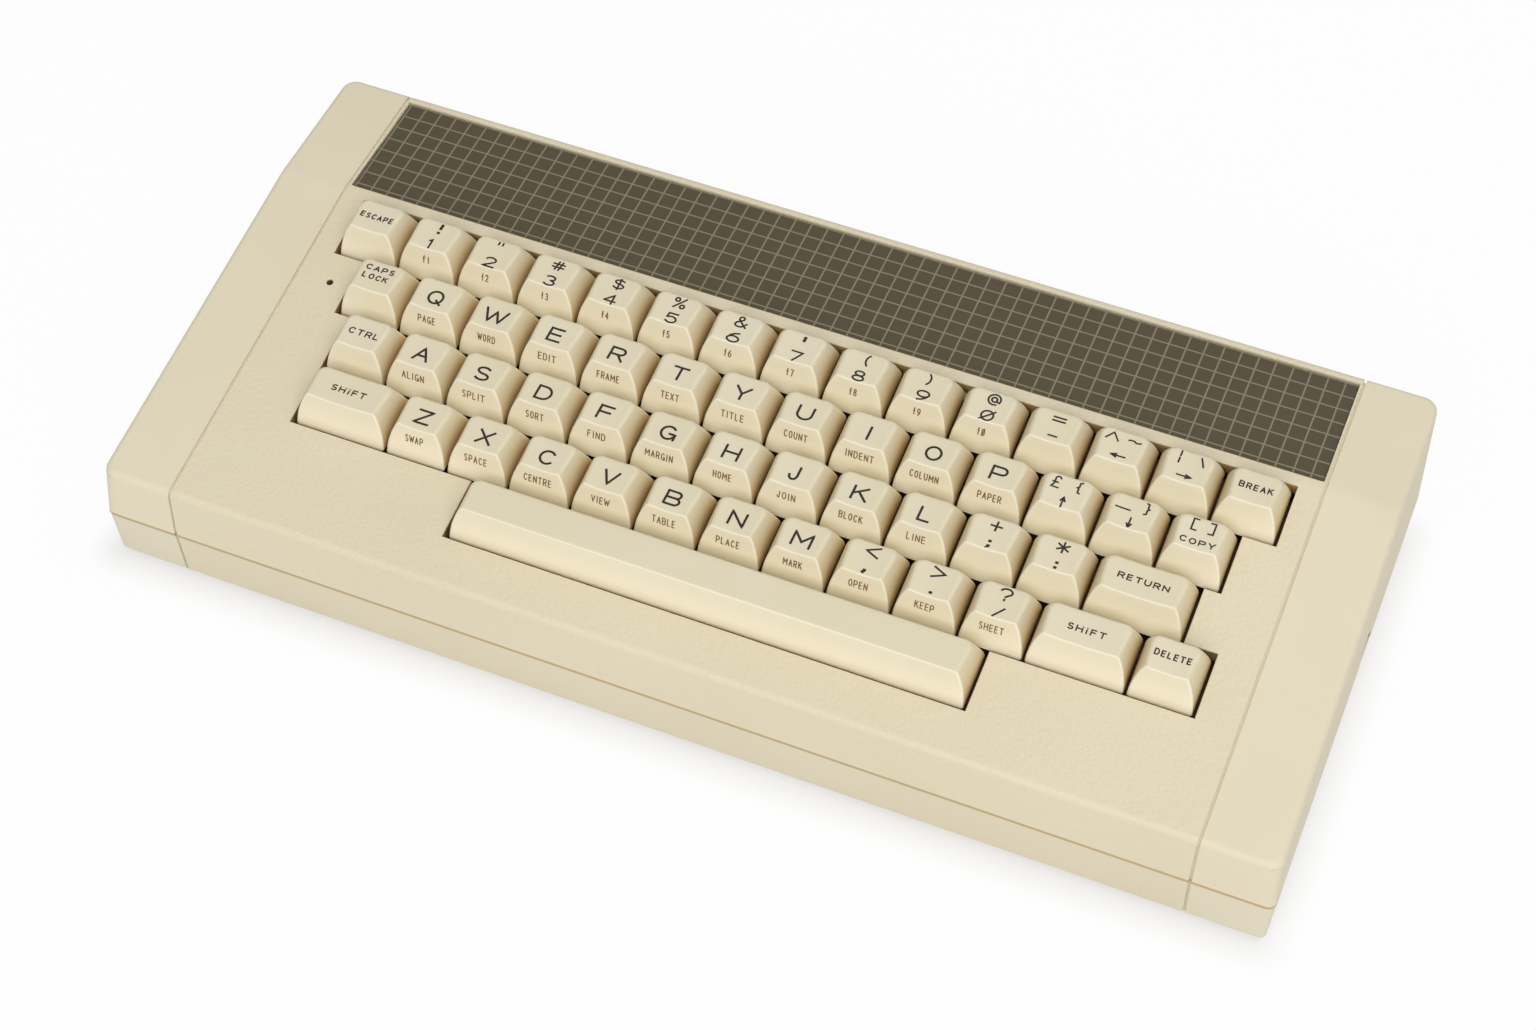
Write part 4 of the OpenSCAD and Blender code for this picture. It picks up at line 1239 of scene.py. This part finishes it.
print("ink stands", INK_TOP, "mm proud")

# %% [markdown]
# ## What is written on each key
# Letters stand in the middle of a cap. Number keys carry the digit below and its sign above. The
# longer keys carry a plain word for what they do. The front faces of the number row carry small
# function numbers, and those of the letters and of three signs plain editing words of the kind that
# such keyboards have; they are this lesson's own choice.

# %% Legends
SIGNS = dict(zip("1234567890", "!\"#$%&'()@"))
PAIRS = {
    "minus": "-=", "semicolon": ";+", "colon": ":*", "comma": ",<", "stop": ".>", "slash": "/?",
}
EDITING = dict(zip("qwertyuiopasdfghjklzxcvbnm", (
    "PAGE WORD EDIT FRAME TEXT TITLE COUNT INDENT COLUMN PAPER ALIGN SPLIT SORT FIND MARGIN HOME "
    "JOIN BLOCK LINE SWAP SPACE CENTRE VIEW TABLE PLACE MARK").split()))
EDITING.update(comma="OPEN", stop="KEEP", slash="SHEET")
# Each line: a key, a word or the name of a sign, and the box it fills: left, low, right, high.
MARKS = [line.split() for line in r"""
break BREAK -4.5 -0.2 5.2 2.0
caps CAPS -4.8 2.6 4.2 4.7
caps LOCK -4.5 -0.6 3.5 1.5
control CTRL -4.4 -0.4 5.2 1.9
copy [ -3.9 1.5 -0.6 5.8
copy ] 1.2 1.5 4.4 5.8
copy COPY -4.8 -3.1 5.2 -1.0
delete DELETE -5.1 0.0 5.2 2.2
down down -0.9 -4.6 1.3 -0.5
down _ -5.2 1.2 -0.6 3.0
down } 2.4 1.3 5.0 5.7
escape ESCAPE -5.0 -0.2 5.4 1.9
left left -2.4 -3.6 2.4 -1.4
left ^ -5.7 1.4 -0.7 5.6
left ~ 0.7 2.6 5.4 4.8
return RETURN -7.2 -0.3 7.3 1.8
right right -2.4 -3.6 2.4 -1.4
right | -3.5 1.3 -2.4 6.0
right \ 2.4 1.9 4.4 5.4
shift_left SHIFT -5.2 -0.6 5.6 1.6
shift_right SHIFT -5.2 -0.6 5.6 1.6
up up -0.9 -4.6 1.3 -0.5
up L- -4.8 1.3 -2.0 5.6
up { 1.6 1.4 4.2 5.7
""".strip().splitlines()]
LETTER_LOW, LETTER_HIGH, LETTER_SIDES = -2.5, 2.7, (-2.3, 2.65)
WIDE = {"w": (-3.2, 3.3), "m": (-2.8, 3.1), "i": (-0.3, 0.7), "j": (-1.9, 2.0), "l": (-1.9, 2.4)}
DIGIT_BOX, ONE_BOX = (-1.7, -4.5, 2.3, -0.5), (-1.2, -4.5, 1.4, -0.5)
SIGN_BOX = (-1.7, 1.4, 2.4, 5.7)
SMALL_SIGNS = {"2": (-1.4, 2.4, 2.0, 5.8), "7": (-0.6, 1.7, 1.4, 5.4), "1": (-0.6, 1.6, 1.4, 5.8)}
PAIR_LOW, PAIR_HIGH = (-1.5, -4.5, 2.1, -0.7), (-1.9, 1.3, 2.6, 5.8)
FACE_LOW, FACE_HIGH, FACE_MIDDLE = 6.4, 8.9, -0.4
NUMBER_BOX = (-1.3, FACE_LOW, 1.0, FACE_HIGH)
WORD_PITCH, WORD_GAP = 1.45, 0.25
PENS = {
    "letter": 0.7, "digit": 0.56, "number": 0.32, "dot": 0.95, "tick": 0.9, "line": 0.55,
    "pair": 0.58, "sign": 0.5, "word": 0.4, "front": 0.31,
}
FACE_LONG = math.hypot(FRONT_LEAN, RISE)
RAY_FROM = 30.0


def top_lift(mesh):
    """Places flat points on the top faces of a cap as it was really lofted."""
    corners = [v.co / MM for v in mesh.vertices]
    tree = BVHTree.FromPolygons(corners, [tuple(face.vertices) for face in mesh.polygons])

    def lift(x, y, height):
        hit = tree.ray_cast(Vector((x, y, RAY_FROM)), Vector((0, 0, -1)))[0]
        return hit + Vector((0, 0, height))
    return lift


def face_lift(x, up, height):
    """A place on the sloping front face, up the face from its skirt."""
    share = up / FACE_LONG
    return Vector((
        x,
        -CAP / 2 + FRONT_LEAN * share - height * RISE / FACE_LONG,
        SKIRT_Z + RISE * share + height * FRONT_LEAN / FACE_LONG,
    ))


def legend_mesh(key, cap):
    bm = bmesh.new()
    lift = top_lift(cap.data)
    if len(key) == 1 and key.isalpha():
        left, right = WIDE.get(key, LETTER_SIDES)
        write(bm, key.upper(), (left, LETTER_LOW, right, LETTER_HIGH), PENS["letter"], lift)
    elif key.isdigit():
        write(bm, key, ONE_BOX if key == "1" else DIGIT_BOX, PENS["digit"], lift)
        pen = PENS["tick" if key in "17" else "line"]
        write(bm, SIGNS[key], SMALL_SIGNS.get(key, SIGN_BOX), pen, lift)
        write_word(bm, "f" + key, NUMBER_BOX, PENS["number"], face_lift, BROWN)
    elif key in PAIRS:
        low, high = PAIRS[key]
        write(bm, low, PAIR_LOW, PENS["line" if low in "-/" else "dot"], lift)
        write(bm, high, PAIR_HIGH, PENS["pair"], lift)
    if key in EDITING:
        half = (len(EDITING[key]) * WORD_PITCH - WORD_GAP) / 2
        box = (FACE_MIDDLE - half, FACE_LOW, FACE_MIDDLE + half, FACE_HIGH)
        write_word(bm, EDITING[key], box, PENS["front"], face_lift, BROWN)
    for owner, mark, *numbers in MARKS:
        if owner == key:
            box = [float(number) for number in numbers]
            if mark in GLYPHS:
                write(bm, mark, box, PENS["sign"], lift)
            else:
                write_word(bm, mark, box, PENS["word"], lift)
    bmesh.ops.recalc_face_normals(bm, faces=bm.faces)
    return made_mesh("legend_" + key, bm, dark_ink, brown_ink)


written = [name for name in key_names if name != "key_space"]
for name in written:
    legend = add_object("legend_" + name[4:], legend_mesh(name[4:], caps[name]))
    legend.matrix_world = on_key(name)
    join_frame(legend, name + "_body")
print("legends:", len(written))

# %% [markdown]
# ## Floor and surround
# The object stands on a plain white floor, in a pale surround that fills the shadows. The camera
# sees the floor as white through Light Path, mixed with a plain matt floor so that the soft shadow
# under the case stays. Near the case less white is mixed in, a painted shade around the case
# besides its real shadow; away from it the white takes over.

# %% Floor and surround
FLOOR_HALF, FLOOR_DROP = 3.0, 0.0002
CASE_HALF = (171, 77)
SHADOW_REACH, GLOW_NEAR, GLOW_MORE = 13, 0.5, 0.44
floor_mesh = bpy.data.meshes.new("floor")
around = [(x * FLOOR_HALF, y * FLOOR_HALF, 0) for x, y in ((-1, -1), (1, -1), (1, 1), (-1, 1))]
floor_mesh.from_pydata(around, [], [(0, 1, 2, 3)])
floor = add_object("floor", floor_mesh)
floor.location.z = -FLOOR_DROP

finish = Finish("white_floor", Roughness=0.9)
point = finish.place()
x, y, z = finish.axes(point)
paper = finish.noise(point, 40.0)
finish.feed(Base_Color=finish.mix(paper, rgb(238, 238, 238), rgb(236, 236, 236)))
seen = finish.add("ShaderNodeLightPath", out="Is Camera Ray")
glow = finish.add("ShaderNodeEmission", None, {"Color": (1, 1, 1, 1), "Strength": 1.0})
past_x, past_y = (
    (axis.size() - half).math("MAXIMUM", 0.0) for axis, half in zip((x, y), CASE_HALF)
)
away = (past_x * past_x + past_y * past_y).math("SQRT")
matt = Flow(finish, finish.shader.outputs[0])
# Less white near the case: a painted shade around it, besides its real shadow.
amount = seen * (away.ramp(0, SHADOW_REACH) * GLOW_MORE + GLOW_NEAR)
both = finish.add("ShaderNodeMixShader", None, {0: amount, 1: matt, 2: glow})
output = next(n for n in finish.tree.nodes if n.type == "OUTPUT_MATERIAL")
finish.tree.links.new(both.socket, output.inputs["Surface"])
floor_mesh.materials.append(finish.material)

world = bpy.data.worlds.new("surround")
world.use_nodes = True
background = world.node_tree.nodes["Background"]
background.inputs["Color"].default_value = (1, 1, 1, 1)
background.inputs["Strength"].default_value = 0.5
bpy.context.scene.world = world
print("floor and surround in place")

# %% [markdown]
# ## Soft boxes
# Two area lamps light the case: one above it, behind the middle, and a wide one in front, over the
# typist's head. A sun lamp would draw hard shadows; a large lamp draws soft ones. Their powers are
# set so that a colour renders about as it is written.

# %% Soft boxes
def soft_box(name, place, target, size, watts):
    data = bpy.data.lights.new(name, "AREA")
    data.shape = "RECTANGLE"
    data.size, data.size_y = size
    data.energy = watts
    aim(add_object(name, data), place, target)


soft_box("soft_box_above", (0.5, 0.3, 1.6), (0, 0, 0), (1.4, 1.1), 7)
soft_box("soft_box_front", (0.4, -1.45, 1.1), (0, 0, 0.03), (2.2, 0.9), 18)
bpy.context.scene.view_settings.view_transform = "Standard"
print("soft boxes in place")
